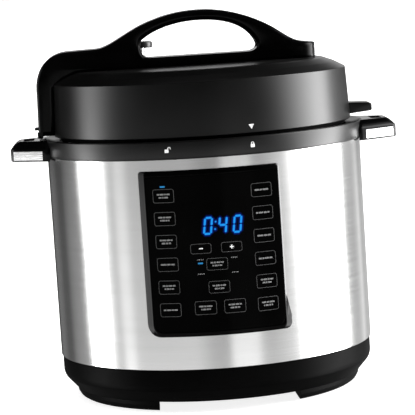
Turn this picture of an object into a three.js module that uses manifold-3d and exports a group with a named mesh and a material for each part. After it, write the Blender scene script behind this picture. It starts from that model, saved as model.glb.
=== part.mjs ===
// Electric pressure cooker with a twist-lock lid, in millimetres, +Z up.
// The cooker stands on z = 0 and its front, with the control panel, faces -Y.
// Azimuths are in degrees from the front (-Y), positive towards +X.
import * as THREE from 'three';
import { mergeVertices } from 'three/addons/utils/BufferGeometryUtils.js';
import Module from 'manifold-3d';

const wasm = await Module();
wasm.setup();

// Driving dimensions
const GAP = 0.3; // between pieces that rest on each other
const STEEL_R = 145; // outside of the steel housing
const STEEL_WALL = 1;
const STEEL_LOW = 40.5;
const STEEL_HIGH = 225.5;
const BASE_R = 143.8; // upright band of the base tub
const BASE_TAPER_HIGH = 23; // where the base starts to draw in
const BASE_FLOOR = 9.8; // underside of the tub between its feet
const FOOT_R = 131.4; // outside of a foot, above its round lower edge
const FOOT_EDGE = 5.7; // top of that edge
const BAND_R = 147.2; // outside of the rim collar
const BAND_HIGH = 241.5;
const MOUTH_R = 133; // the collar's opening
const LEDGE_R = 127;
const LEDGE_HIGH = 232.4; // the ledge in the collar that carries the outer pot
const LID_LOW = 243.2;
const LID_R_LOW = 137.5;
const LID_R_HIGH = 135.4;
const LID_SHOULDER = 290.5;
const LID_TOP = 301;
const LID_TOP_R = 113; // the flat top of the lid
const LID_WALL = 3;
const GRIP_WIDTH = 38; // lid handle, front to back
const ARM_X = -151.3; // outside of the handle's arm
const GRIP_END_X = 108.5;
const SIDE_GRIP_X = 178; // half the width over the side handles
const PANEL_FACE_R = 148.6;
const PANEL_LOW = 70;
const PANEL_HIGH = 216;
const PANEL_HALF = 63; // half chord of the bezel on the steel
const POT_R = 110; // inside of the removable pot
const POT_LOW = 66.3;
const POT_RIM = 217.5; // underside of the pot's rim
const LINER_R = 113; // inside of the outer pot
const LINER_LOW = 46;
const LUG_COUNT = 6;
const LUG_PITCH = 360 / LUG_COUNT;
const LINER_WALL = 1.2; // sheet thickness of the outer pot
const CUP_BACK = 182; // back of the condensation cup
const OUTER_SEGMENTS = 40;
const INNER_SEGMENTS = 32;
const ROUND_SEGMENTS = 16;
const AXIS_Y = -(CUP_BACK - PANEL_FACE_R) / 2; // puts the whole object's middle on the origin
const FAR = 400; // further out than any piece, for the ends of cutting solids
const CLEAR = 1; // how far a cutting solid passes through a face

// Shape tools

function toSolid(geometry) {
  const bare = new THREE.BufferGeometry();
  bare.setAttribute('position', geometry.getAttribute('position'));
  bare.setIndex(geometry.getIndex());
  const merged = mergeVertices(bare, 1e-4);
  const index = merged.getIndex().array;
  const triVerts = [];
  for (let i = 0; i < index.length; i += 3) {
    const [a, b, c] = index.slice(i, i + 3);
    if (a !== b && b !== c && c !== a) triVerts.push(a, b, c);
  }
  return new wasm.Manifold(new wasm.Mesh({
    numProp: 3,
    vertProperties: Float32Array.from(merged.getAttribute('position').array),
    triVerts: Uint32Array.from(triVerts),
  }));
}

function toGeometry(solid) {
  const mesh = solid.getMesh();
  const geometry = new THREE.BufferGeometry();
  geometry.setAttribute('position', new THREE.BufferAttribute(Float32Array.from(mesh.vertProperties), 3));
  geometry.setIndex(new THREE.BufferAttribute(Uint32Array.from(mesh.triVerts), 1));
  return geometry;
}

// A closed profile of [radius, height] points, anticlockwise, turned about the Z axis
function turned(profile, segments = OUTER_SEGMENTS) {
  const outline = [...profile, profile[0]].map(([r, z]) => new THREE.Vector2(r, z));
  return toSolid(new THREE.LatheGeometry(outline, segments).rotateX(Math.PI / 2));
}

function box(xLow, xHigh, yLow, yHigh, zLow, zHigh) {
  const geometry = new THREE.BoxGeometry(xHigh - xLow, yHigh - yLow, zHigh - zLow);
  return toSolid(geometry.translate((xLow + xHigh) / 2, (yLow + yHigh) / 2, (zLow + zHigh) / 2));
}

function rod(radius, zLow, zHigh, x = 0, y = 0, segments = ROUND_SEGMENTS) {
  const geometry = new THREE.CylinderGeometry(radius, radius, zHigh - zLow, segments);
  return toSolid(geometry.rotateX(Math.PI / 2).translate(x, y, (zLow + zHigh) / 2));
}

// A shape in the XY plane, raised from zLow to zHigh
function raised(shape, zLow, zHigh, curveSegments = 8) {
  const options = { depth: zHigh - zLow, bevelEnabled: false, curveSegments };
  return toSolid(new THREE.ExtrudeGeometry(shape, options).translate(0, 0, zLow));
}

// A shape drawn as [x, z] from the front, running from yLow to yHigh
function profiled(shape, yLow, yHigh, curveSegments = 8) {
  const options = { depth: yHigh - yLow, bevelEnabled: false, curveSegments };
  const geometry = new THREE.ExtrudeGeometry(shape, options).rotateX(Math.PI / 2);
  return toSolid(geometry.translate(0, yHigh, 0));
}

function arcBlock(rLow, rHigh, zLow, zHigh, azimuthLow, azimuthHigh, steps = 6) {
  const from = THREE.MathUtils.degToRad(azimuthLow - 90);
  const to = THREE.MathUtils.degToRad(azimuthHigh - 90);
  const shape = new THREE.Shape();
  shape.absarc(0, 0, rHigh, from, to, false);
  shape.absarc(0, 0, rLow, to, from, true);
  return raised(shape, zLow, zHigh, steps);
}

function polygon(points) {
  return new THREE.Shape(points.map(([x, y]) => new THREE.Vector2(x, y)));
}

function roundedBox(xLow, xHigh, zLow, zHigh, radiusLow, radiusHigh) {
  const shape = new THREE.Shape();
  shape.moveTo(xLow + radiusLow, zLow);
  shape.absarc(xHigh - radiusLow, zLow + radiusLow, radiusLow, -Math.PI / 2, 0, false);
  shape.absarc(xHigh - radiusHigh, zHigh - radiusHigh, radiusHigh, 0, Math.PI / 2, false);
  shape.absarc(xLow + radiusHigh, zHigh - radiusHigh, radiusHigh, Math.PI / 2, Math.PI, false);
  shape.absarc(xLow + radiusLow, zLow + radiusLow, radiusLow, Math.PI, Math.PI * 1.5, false);
  return shape;
}

function shellRing(rLow, rHigh, zLow, zHigh, segments = OUTER_SEGMENTS) {
  return turned([[rLow, zLow], [rHigh, zLow], [rHigh, zHigh], [rLow, zHigh]], segments);
}

function joined(solids) {
  return solids.reduce((whole, piece) => whole.add(piece));
}

// How far from the axis a circle is, in y, at this x
function reach(radius, x) {
  return Math.sqrt(radius * radius - x * x);
}

// A shape drawn as [x, z], cut through the front half only
function frontCut(shape, curveSegments = 4) {
  return profiled(shape, -FAR, 0, curveSegments);
}

// The point at a radius and azimuth, as [x, y]
function polar(radius, azimuth) {
  const angle = THREE.MathUtils.degToRad(azimuth);
  return [radius * Math.sin(angle), -radius * Math.cos(angle)];
}

// Materials

function plastic(color, roughness) {
  return new THREE.MeshStandardMaterial({ color, roughness, metalness: 0 });
}

function metal(color, roughness) {
  return new THREE.MeshStandardMaterial({ color, roughness, metalness: 1 });
}

const glossBlack = plastic(0x0a0a0b, 0.18);
const satinBlack = plastic(0x1c1c1d, 0.42);
const mattBlack = plastic(0x111112, 0.6);
const brushedSteel = metal(0xc8c8c6, 0.3);
const polishedSteel = metal(0xd8d8d8, 0.15);
const trimSilver = metal(0xe2e2e2, 0.25);
const castAluminium = metal(0xa4a6a8, 0.5);
const silicone = plastic(0xb9bcbc, 0.7);
const rubber = plastic(0x1a1a1a, 0.85);
const clearPlastic = new THREE.MeshStandardMaterial({
  color: 0xd6dde0, roughness: 0.15, metalness: 0, transparent: true, opacity: 0.5,
});
const circuitGreen = plastic(0x1d5a34, 0.5);
const displayBlue = plastic(0x1f6cff, 0.3);
const insulator = plastic(0xe8e4da, 0.5);

// Base

const FOOT_TURN = 2.6; // the feet stand turned a little from the front
const FOOT_X = 62.8; // ends of the feet along the turned axes
const FOOT_Y = 7;
const FOOT_LOW = 1; // the pads stand this far below the feet
const FOOT_TIP_R = 127;
const FOOT_INNER_R = 100;
const FOOT_ROOT_HIGH = BASE_FLOOR + 0.9; // the foot runs into the tub's wall
const PAD_R = 9;
const PAD_PLACE_R = 114;
const PAD_AZIMUTHS = [58, 122, -122, -58].map((azimuth) => azimuth + FOOT_TURN);
const PAD_HIGH = 4;
const COVER_R = FOOT_INNER_R - 2;
const COVER_HIGH = BASE_FLOOR - GAP;
const COVER_LOW = COVER_HIGH - 2.2;
const BASE_SCREW_R = 92; // where the cover's screws stand
const BASE_SCREW_HOLE_R = 1.9;
const BASE_SCREW_AZIMUTHS = [30, 120, -150, -60];
const BOSS_HIGH = 26;
const TUB_WALL = 2.6;
const TUB_INNER_R = 88; // the hole in the tub's floor that the cover closes
const FLOOR_R = 132.4; // where the tub's floor meets its taper
const TUB_LIP = 7; // the tub's lip stands this far up inside the steel

// Four feet: quarters of a ring, each with a pocket for its pad
function feet() {
  const ring = turned([
    [FOOT_INNER_R, FOOT_LOW], [FOOT_TIP_R, FOOT_LOW], [FOOT_TIP_R + 2.4, FOOT_LOW + 1.6],
    [FOOT_R, FOOT_EDGE], [FLOOR_R, FOOT_ROOT_HIGH], [FOOT_INNER_R, FOOT_ROOT_HIGH],
  ]);
  const quarters = [];
  [[FOOT_X, FAR], [-FAR, -FOOT_X]].forEach(([lowX, highX]) => {
    [[FOOT_Y, FAR], [-FAR, -FOOT_Y]].forEach(([lowY, highY]) => {
      quarters.push(box(lowX, highX, lowY, highY, 0, FOOT_ROOT_HIGH + CLEAR));
    });
  });
  const pockets = PAD_AZIMUTHS.map((azimuth) =>
    rod(PAD_R + GAP, 0, PAD_HIGH + GAP, ...polar(PAD_PLACE_R, azimuth), 20));
  return ring.intersect(joined(quarters).rotate([0, 0, FOOT_TURN])).subtract(joined(pockets));
}

function baseTub() {
  const lipR = STEEL_R - STEEL_WALL - 1.4;
  const shell = turned([
    [TUB_INNER_R, BASE_FLOOR], [FLOOR_R, BASE_FLOOR], [BASE_R - 1, BASE_TAPER_HIGH - 1.6],
    [BASE_R, BASE_TAPER_HIGH + 1], [BASE_R, STEEL_LOW - GAP], [lipR, STEEL_LOW - GAP],
    [lipR, STEEL_LOW + TUB_LIP], [lipR - TUB_WALL, STEEL_LOW + TUB_LIP],
    [lipR - TUB_WALL, BASE_TAPER_HIGH + 2], [FLOOR_R - 1.1, BASE_FLOOR + TUB_WALL],
    [TUB_INNER_R, BASE_FLOOR + TUB_WALL],
  ]);
  const bosses = BASE_SCREW_AZIMUTHS.map((azimuth) =>
    rod(5, BASE_FLOOR + 0.5, BOSS_HIGH, ...polar(BASE_SCREW_R, azimuth), 16));
  const holes = BASE_SCREW_AZIMUTHS.map((azimuth) =>
    rod(BASE_SCREW_HOLE_R, BASE_FLOOR - 6, BOSS_HIGH - 2.5, ...polar(BASE_SCREW_R, azimuth), 12));
  return joined([shell, feet(), ...bosses]).subtract(joined(holes));
}

function footPad() {
  return turned([[0, 0], [PAD_R - 0.8, 0], [PAD_R, 0.8], [PAD_R, PAD_HIGH], [0, PAD_HIGH]], 20);
}

function bottomCover() {
  const plate = rod(COVER_R, COVER_LOW, COVER_HIGH, 0, 0, INNER_SEGMENTS);
  const slotHalf = 34;
  const slotPitch = 9;
  const slots = [];
  for (let row = -3; row <= 3; row += 1) {
    const y = row * slotPitch;
    slots.push(box(-slotHalf, slotHalf, y - 1.5, y + 1.5, COVER_LOW - CLEAR, COVER_HIGH + CLEAR));
  }
  const holes = BASE_SCREW_AZIMUTHS.map((azimuth) =>
    rod(2, COVER_LOW - CLEAR, COVER_HIGH + CLEAR, ...polar(BASE_SCREW_R, azimuth), 12));
  return plate.subtract(joined([...slots, ...holes]));
}

// A pan-head screw, head down, with the underside of its head on z = 0
function screw(shankLength, shankR = 1.5, headR = 3.4) {
  return turned([
    [0, -2.1], [headR - 1, -2.1], [headR, -1], [headR, 0],
    [shankR, 0], [shankR, shankLength - 1.2], [0, shankLength],
  ], 12);
}

// Housing

const STEEL_CUT_HALF = 58;
const STEEL_CUT_LOW = 76;
const STEEL_CUT_HIGH = 210;
const INLET_HALF = 25;
const INLET_LOW = 62;
const INLET_HIGH = 92;

function steelHousing() {
  const wall = shellRing(STEEL_R - STEEL_WALL, STEEL_R, STEEL_LOW, STEEL_HIGH);
  const panelCut = frontCut(
    roundedBox(-STEEL_CUT_HALF, STEEL_CUT_HALF, STEEL_CUT_LOW, STEEL_CUT_HIGH, 4, 4), 3);
  const inletCut = box(-INLET_HALF, INLET_HALF, 0, FAR, INLET_LOW, INLET_HIGH);
  return wall.subtract(panelCut).subtract(inletCut);
}

function rimCollar() {
  const wall = 2.5;
  const skirtR = STEEL_R - STEEL_WALL - 0.4; // it stands inside the steel
  return turned([
    [LEDGE_R, LEDGE_HIGH - wall], [MOUTH_R + wall, LEDGE_HIGH - wall], [MOUTH_R + wall, BAND_HIGH - wall],
    [skirtR - wall, BAND_HIGH - wall], [skirtR - wall, STEEL_HIGH - 7], [skirtR, STEEL_HIGH - 7],
    [skirtR, STEEL_HIGH + GAP], [BAND_R, STEEL_HIGH + GAP], [BAND_R, BAND_HIGH - 1],
    [BAND_R - 1, BAND_HIGH], [MOUTH_R, BAND_HIGH], [MOUTH_R, LEDGE_HIGH], [LEDGE_R, LEDGE_HIGH],
  ]);
}

// Side handle, drawn for the right-hand side

const GRIP_ROOT_Y = 42; // half width where it meets the collar
const GRIP_TIP_Y = 21;
const GRIP_ROOT_X = 125; // inside the collar
const GRIP_TAPER_X = 143; // where the grip starts to narrow
const GRIP_CORNER = 3;
const GRIP_LOW = 222.9;
const GRIP_LIP = 234; // top of the upright edge that holds the trim
const GRIP_TOP_IN = 7.5; // how far the top draws in from the edge
const FINGER_WALL = 7; // wall left round the finger pocket
const FINGER_DEPTH = 11;
const FINGER_X = 151;
const TRIM_X = 152; // inner end of the trim
const TRIM_LOW = 224.2;
const TRIM_HIGH = 232.4;
const TRIM_DEPTH = 1.2;
const SLOT_LOW_X = 156;
const SLOT_HIGH_X = 166;
const SLOT_HALF_Y = 15;

function gripOutline(inset) {
  const tipX = SIDE_GRIP_X - inset;
  const slope = (GRIP_ROOT_Y - GRIP_TIP_Y) / (SIDE_GRIP_X - GRIP_CORNER - GRIP_TAPER_X);
  const rootY = GRIP_ROOT_Y - inset * 1.2;
  const shoulderX = tipX - GRIP_CORNER;
  const shoulderY = rootY - slope * (shoulderX - GRIP_TAPER_X);
  return polygon([
    [GRIP_ROOT_X, -rootY], [GRIP_TAPER_X, -rootY], [shoulderX, -shoulderY],
    [tipX, -shoulderY + GRIP_CORNER], [tipX, shoulderY - GRIP_CORNER],
    [shoulderX, shoulderY], [GRIP_TAPER_X, rootY], [GRIP_ROOT_X, rootY],
  ]);
}

function sideHandle() {
  const top = BAND_HIGH - 0.5;
  const steps = [1 / 3, 2 / 3, 1]; // the top draws in towards its middle in three steps
  const upper = steps.map((share) => raised(
    gripOutline(GRIP_TOP_IN * share), GRIP_LIP - 0.5, GRIP_LIP + (top - GRIP_LIP) * share));
  const body = joined([raised(gripOutline(0), GRIP_LOW, GRIP_LIP), ...upper]);
  const collarSpace = rod(BAND_R + GAP, 0, FAR, 0, 0, OUTER_SEGMENTS);
  const fingerSpace = raised(gripOutline(FINGER_WALL), GRIP_LOW - CLEAR, GRIP_LOW + FINGER_DEPTH)
    .intersect(box(FINGER_X, FAR, -FAR, FAR, 0, FAR));
  const lidSlot = box(SLOT_LOW_X, SLOT_HIGH_X, -SLOT_HALF_Y, SLOT_HALF_Y, GRIP_LOW, top + CLEAR);
  const trimSpace = trimBand(TRIM_LOW - GAP, TRIM_HIGH + GAP, TRIM_DEPTH + GAP, 0.5);
  return body.subtract(collarSpace).subtract(fingerSpace).subtract(lidSlot).subtract(trimSpace);
}

// The strip round the handle's slanted faces and end
function trimBand(low, high, depth, proud) {
  const outer = raised(gripOutline(-proud), low, high);
  const inner = raised(gripOutline(depth), low - CLEAR, high + CLEAR);
  return outer.subtract(inner).intersect(box(TRIM_X - proud, FAR, -FAR, FAR, 0, FAR));
}

function handleTrim() {
  const sunk = 0.2; // below the handle's face
  return trimBand(TRIM_LOW, TRIM_HIGH, TRIM_DEPTH, -sunk)
    .intersect(box(TRIM_X + 0.4, FAR, -FAR, FAR, 0, FAR));
}

// Control panel

const OVERLAY_HALF = 57.6;
const OVERLAY_LOW = 74.5;
const OVERLAY_HIGH = 211;
const DISPLAY_HALF = 29;
const DISPLAY_LOW = 158;
const DISPLAY_HIGH = 188;

function controlBezel() {
  const front = frontCut(roundedBox(-PANEL_HALF, PANEL_HALF, PANEL_LOW, PANEL_HIGH, 12, 2.5), 5);
  const faceHalf = PANEL_HALF - 5; // the face is narrower than the foot of the bezel
  const footY = -reach(STEEL_R, PANEL_HALF) - 0.5;
  const faceY = -reach(PANEL_FACE_R, faceHalf) - 0.4;
  const taper = raised(polygon([
    [-PANEL_HALF, footY], [-faceHalf, faceY], [-faceHalf, -FAR], [faceHalf, -FAR],
    [faceHalf, faceY], [PANEL_HALF, footY], [PANEL_HALF, 0], [-PANEL_HALF, 0],
  ]), 0, FAR);
  const flange = shellRing(STEEL_R + GAP, PANEL_FACE_R, PANEL_LOW, PANEL_HIGH)
    .intersect(front)
    .intersect(taper);
  const plugOutline = roundedBox(
    -STEEL_CUT_HALF + GAP, STEEL_CUT_HALF - GAP, STEEL_CUT_LOW + GAP, STEEL_CUT_HIGH - GAP, 4, 4);
  const plug = shellRing(STEEL_R - 3, STEEL_R + 1, PANEL_LOW, PANEL_HIGH)
    .intersect(frontCut(plugOutline, 3));
  const recess = shellRing(PANEL_FACE_R - 1.7, PANEL_FACE_R + 2, OVERLAY_LOW - GAP, OVERLAY_HIGH + GAP)
    .intersect(frontCut(roundedBox(
      -OVERLAY_HALF - GAP, OVERLAY_HALF + GAP, OVERLAY_LOW - GAP, OVERLAY_HIGH + GAP, 8, 2)));
  const window = box(-DISPLAY_HALF, DISPLAY_HALF, -FAR, 0, DISPLAY_LOW, DISPLAY_HIGH);
  return flange.add(plug).subtract(recess).subtract(window);
}

function controlOverlay() {
  return shellRing(PANEL_FACE_R - 1.4, PANEL_FACE_R - 0.2, OVERLAY_LOW, OVERLAY_HIGH)
    .intersect(frontCut(roundedBox(-OVERLAY_HALF, OVERLAY_HALF, OVERLAY_LOW, OVERLAY_HIGH, 8, 2)));
}

function displayModule() {
  const lens = shellRing(STEEL_R - 7, PANEL_FACE_R - 2, DISPLAY_LOW + 1, DISPLAY_HIGH - 1)
    .intersect(box(-DISPLAY_HALF + 1, DISPLAY_HALF - 1, -FAR, 0, 0, FAR));
  return lens.add(box(-DISPLAY_HALF + 3, DISPLAY_HALF - 3, -139, -131, DISPLAY_LOW + 2, DISPLAY_HIGH - 2));
}

function controlBoard() {
  const board = box(-50, 50, -125.6, -124, 84, 204);
  const chips = [box(-12, 8, -124.2, -121, 120, 136), box(-40, -28, -124.2, -120, 92, 104),
    box(22, 42, -124.2, -114, 90, 100), box(20, 30, -124.2, -117, 178, 192)];
  return joined([board, ...chips]);
}

// Heating parts

const LUG_LOW = 230.5;
const LUG_HALF = 13; // half the azimuth that a lug spans
const SENSOR_HOLE_R = 9;
const TERMINAL_X = 56;
const PLATE_LOW = 57;
const SHIELD_HIGH = 42.7;

function outerPot() {
  const wall = LINER_WALL;
  const seat = POT_RIM - 1.4; // the pot's rim hangs over this step
  const mouthR = LEDGE_R - 2;
  const flangeLow = LEDGE_HIGH + GAP;
  const shell = turned([
    [SENSOR_HOLE_R, LINER_LOW], [LINER_R - 4, LINER_LOW], [LINER_R + wall, LINER_LOW + 5],
    [LINER_R + wall, seat - wall], [mouthR + wall, seat - wall], [mouthR + wall, flangeLow],
    [MOUTH_R - 1.5, flangeLow], [MOUTH_R - 1.5, flangeLow + wall], [mouthR, flangeLow + wall],
    [mouthR, seat], [LINER_R, seat], [LINER_R, LINER_LOW + 5.4],
    [LINER_R - 4.4, LINER_LOW + wall], [SENSOR_HOLE_R, LINER_LOW + wall],
  ], INNER_SEGMENTS);
  const lugs = [];
  for (let i = 0; i < LUG_COUNT; i += 1) {
    const middle = i * LUG_PITCH;
    lugs.push(arcBlock(
      119.6, mouthR + 0.4, LUG_LOW, flangeLow + wall, middle - LUG_HALF, middle + LUG_HALF, 4));
  }
  const terminalHoles = [-TERMINAL_X, TERMINAL_X].map((x) =>
    box(x - 6, x + 6, -6, 6, LINER_LOW - 6, LINER_LOW + 4));
  return joined([shell, ...lugs]).subtract(joined(terminalHoles));
}

function heatingPlate() {
  const top = POT_LOW - 0.4;
  const disc = turned([
    [19, PLATE_LOW + 1], [40, PLATE_LOW], [88, PLATE_LOW], [94, PLATE_LOW + 3], [94, top - 1.3],
    [90, top - 0.3], [60, top], [19, top],
  ], INNER_SEGMENTS);
  const legs = [90, -30, -150].map((azimuth) =>
    rod(4, LINER_LOW + LINER_WALL + GAP, PLATE_LOW + 1, ...polar(80, azimuth), 12));
  const terminals = [-TERMINAL_X, TERMINAL_X].map((x) =>
    rod(3, SHIELD_HIGH - 9.7, PLATE_LOW + 1, x, 0, 12));
  return joined([disc, ...legs, ...terminals]);
}

function innerPot() {
  const wall = 1.3;
  return turned([
    [0, POT_LOW], [POT_R - 8, POT_LOW], [POT_R - 1.2, POT_LOW + 3], [POT_R + wall, POT_LOW + 9],
    [POT_R + wall, POT_RIM], [117.6, POT_RIM], [117.6, POT_RIM + 2.4], [POT_R + 1, POT_RIM + 2.4],
    [POT_R, POT_RIM + 1], [POT_R, POT_LOW + 9.4], [POT_R - 2.2, POT_LOW + 4.2],
    [POT_R - 8.4, POT_LOW + wall], [0, POT_LOW + wall],
  ], INNER_SEGMENTS);
}

function temperatureSensor() {
  return turned([
    [0, 44], [5.6, 44], [5.6, 61.6], [15.5, 61.6], [16.5, 62.4], [16.5, 65.2], [15.7, 66], [0, 66],
  ], 20);
}

function sensorSeat() {
  return turned([
    [6.4, LINER_LOW + 1.5], [16, LINER_LOW + 1.5], [16, LINER_LOW + 5.5],
    [14, LINER_LOW + 5.5], [14, LINER_LOW + 3.3], [6.4, LINER_LOW + 3.3],
  ], 20);
}

class Helix extends THREE.Curve {
  constructor(radius, zLow, zHigh, turns) {
    super();
    Object.assign(this, { radius, zLow, zHigh, turns });
  }

  getPoint(t) {
    const angle = t * this.turns * 2 * Math.PI;
    return new THREE.Vector3(
      this.radius * Math.cos(angle), this.radius * Math.sin(angle),
      THREE.MathUtils.lerp(this.zLow, this.zHigh, t));
  }
}

function sensorSpring() {
  const wireR = 0.7;
  const section = new THREE.Shape();
  section.absarc(0, 0, wireR, 0, 2 * Math.PI, false);
  const turns = 4;
  const path = new Helix(9.5, LINER_LOW + 3.6 + wireR, 61.3 - wireR, turns);
  const options = { steps: turns * 9, curveSegments: 3, bevelEnabled: false, extrudePath: path };
  return toSolid(new THREE.ExtrudeGeometry(section, options));
}

function heatShield() {
  const sheet = 1.2;
  const rim = 112;
  const disc = turned([
    [24, SHIELD_HIGH - sheet], [rim - sheet, SHIELD_HIGH - sheet], [rim - sheet, SHIELD_HIGH - 4.7],
    [rim, SHIELD_HIGH - 4.7], [rim, SHIELD_HIGH], [24, SHIELD_HIGH],
  ], INNER_SEGMENTS);
  const holes = [-TERMINAL_X, TERMINAL_X].map((x) =>
    rod(6, SHIELD_HIGH - 5, SHIELD_HIGH + 5, x, 0, 10));
  return disc.subtract(joined(holes));
}

function pressureSwitch() {
  return joined([
    box(-10, 10, 34, 44, 24, 38), box(-8, -6, 37, 41, 19, 24.5),
    box(6, 8, 37, 41, 19, 24.5), rod(1.6, 37.5, 40.5, 0, 39, 12),
  ]);
}

function thermalFuse() {
  return toSolid(new THREE.CylinderGeometry(3, 3, 26, 12).rotateZ(Math.PI / 2).translate(0, -42, 37));
}

function powerBoard() {
  return joined([
    box(-38, 46, 52, 104, 17, 18.6), box(-34, -14, 58, 76, 18.4, 34),
    box(-2, 22, 60, 78, 18.4, 30), rod(7, 18.4, 36, 32, 90, 16), rod(5, 18.4, 32, -30, 94, 16),
  ]);
}

function powerInlet() {
  const edge = 4; // how far the flange covers the steel
  const half = INLET_HALF + edge;
  const flange = box(-half, half, 140, 150.5, INLET_LOW - edge, INLET_HIGH + edge)
    .subtract(rod(STEEL_R + GAP, 0, FAR, 0, 0, OUTER_SEGMENTS));
  const body = box(-INLET_HALF + 3, INLET_HALF - 3, 122, 148, INLET_LOW + 2, INLET_HIGH - 2);
  const recess = box(-13, 13, 128, FAR, INLET_LOW + 6.5, INLET_HIGH - 6.5);
  const pins = [-7, 0, 7].map((x) => {
    const low = x ? INLET_LOW + 10 : INLET_LOW + 14; // the middle pin stands higher
    return box(x - 1, x + 1, 126, 142, low, low + 4);
  });
  return joined([flange.add(body).subtract(recess), ...pins]);
}

// Condensation cup and its rails, at the back

const CUP_HALF = 29;
const CUP_LOW = 160;
const CUP_HIGH = 219;
const CUP_FRONT = 151.5;
const RAIL_HALF = 35.5;
const RAIL_BACK = 176;
const RAIL_HIGH = 217; // the cup's flange slides on this shelf
const RAIL_TOP = 222;

function cupRails() {
  const wall = 1.9;
  const shelf = box(-RAIL_HALF, RAIL_HALF, 149, RAIL_BACK, RAIL_HIGH - 2.5, RAIL_HIGH)
    .subtract(box(-CUP_HALF - CLEAR, CUP_HALF + CLEAR, 150, FAR, 0, FAR));
  const sides = box(-RAIL_HALF, RAIL_HALF, 149, RAIL_BACK, RAIL_HIGH - 2.5, RAIL_TOP)
    .subtract(box(-RAIL_HALF + wall, RAIL_HALF - wall, 150, FAR, 0, FAR));
  const back = box(-RAIL_HALF, RAIL_HALF, 130, 150, RAIL_HIGH - 12, RAIL_TOP)
    .subtract(rod(STEEL_R + GAP, 0, FAR, 0, 0, OUTER_SEGMENTS));
  return joined([back, shelf, sides]);
}

function condensationCup() {
  const wall = 1.8;
  const outside = joined([
    box(-CUP_HALF, CUP_HALF, CUP_FRONT, CUP_BACK, CUP_LOW, CUP_HIGH),
    box(-CUP_HALF - 4, CUP_HALF + 4, CUP_FRONT + 1, CUP_BACK - 8, RAIL_HIGH + GAP, CUP_HIGH),
  ]);
  const inside = box(
    -CUP_HALF + wall, CUP_HALF - wall, CUP_FRONT + wall, CUP_BACK - wall, CUP_LOW + wall, FAR);
  return outside.subtract(inside);
}

// Lid

const SLIDER_AZIMUTH = -90;
const VALVE_AT = [-53.7, 45];
const FLOAT_AT = [-2, 52];
const LID_SCREW_X = 38;
const SCREW_HOLE_R = 1.9;
const WING_X = 157.7;
const WING_HALF = 13;
const INNER_LID_TOP = 258;
const INNER_LID_WALL = 1.2;
const HANDLE_LOW = 290; // inside the lid, before the lid's form is cut away
const ARM_LOW = 244.4;
const TAB_LOW = 226;
const TAB_HIGH = 228.6;
const TAB_HALF = 12; // half the azimuth that a tab spans

// The lid's outer form, carried on downwards past its lower edge
function lidOutside(offset) {
  const below = LID_LOW - 40;
  return turned([
    [0, below], [LID_R_LOW + offset, below], [LID_R_LOW + offset, LID_LOW],
    [LID_R_HIGH + offset, LID_SHOULDER - 2], [LID_R_HIGH - 1.4 + offset, LID_SHOULDER + 1 + offset],
    [125.6, 296.4 + offset], [LID_TOP_R + 3, 300.2 + offset], [LID_TOP_R, LID_TOP + offset],
    [0, LID_TOP + offset],
  ]);
}

function lidWing() {
  const rootX = LID_R_HIGH - LID_WALL;
  const wing = polygon([
    [rootX, 246], [WING_X - 1.5, 248], [WING_X, 249.2],
    [WING_X - 0.4, 254.6], [WING_X - 2, 255.6], [rootX, 256.7],
  ]);
  return profiled(wing, -WING_HALF, WING_HALF);
}

function lidCover() {
  const outside = lidOutside(0).intersect(box(-FAR, FAR, -FAR, FAR, LID_LOW, FAR));
  const inside = turned([
    [0, LID_LOW - 1], [LID_R_LOW - LID_WALL, LID_LOW - 1], [LID_R_HIGH - LID_WALL, LID_SHOULDER - 3],
    [124, LID_TOP - 8], [LID_TOP_R - 2, LID_TOP - LID_WALL], [0, LID_TOP - LID_WALL],
  ]);
  const holes = joined([
    rod(5, HANDLE_LOW, FAR, ...VALVE_AT), rod(4.4, HANDLE_LOW, FAR, ...FLOAT_AT),
    rod(2, HANDLE_LOW, FAR, LID_SCREW_X, 0, 12), rod(2, HANDLE_LOW, FAR, -LID_SCREW_X, 0, 12),
  ]);
  return outside.add(lidWing()).subtract(inside).subtract(holes);
}

// The handle seen from the front: arm, arch and end block
function handleOutline() {
  const outline = new THREE.Shape();
  outline.moveTo(ARM_X, ARM_LOW);
  outline.lineTo(-100, ARM_LOW);
  outline.lineTo(-100, HANDLE_LOW);
  outline.lineTo(GRIP_END_X, HANDLE_LOW);
  outline.lineTo(GRIP_END_X, 315.2);
  outline.lineTo(101, 315.5);
  outline.bezierCurveTo(83.4, 317.2, 79.1, 327.9, 58.3, 337.7);
  outline.bezierCurveTo(42.1, 345.8, 22, 351.2, 3, 351.2);
  outline.bezierCurveTo(-12, 351.2, -27.1, 349, -39.9, 344.4);
  outline.bezierCurveTo(-62.5, 338, -79.6, 321.9, -93, 321.1);
  outline.lineTo(-117, 320.5);
  outline.bezierCurveTo(-139.4, 321.2, ARM_X - 0.6, 305.5, ARM_X + 0.9, 282);
  return outline;
}

function handleOpening() {
  const opening = new THREE.Shape();
  opening.moveTo(-46, 310.1);
  opening.lineTo(44.5, 310);
  opening.bezierCurveTo(54.5, 310, 57, 314.5, 52, 322);
  opening.bezierCurveTo(44, 334.5, 26, 341.8, 1, 341.6);
  opening.bezierCurveTo(-20, 341.7, -40, 335.3, -51, 326.6);
  opening.bezierCurveTo(-54, 322.5, -53, 310.8, -46, 310.1);
  return opening;
}

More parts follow.
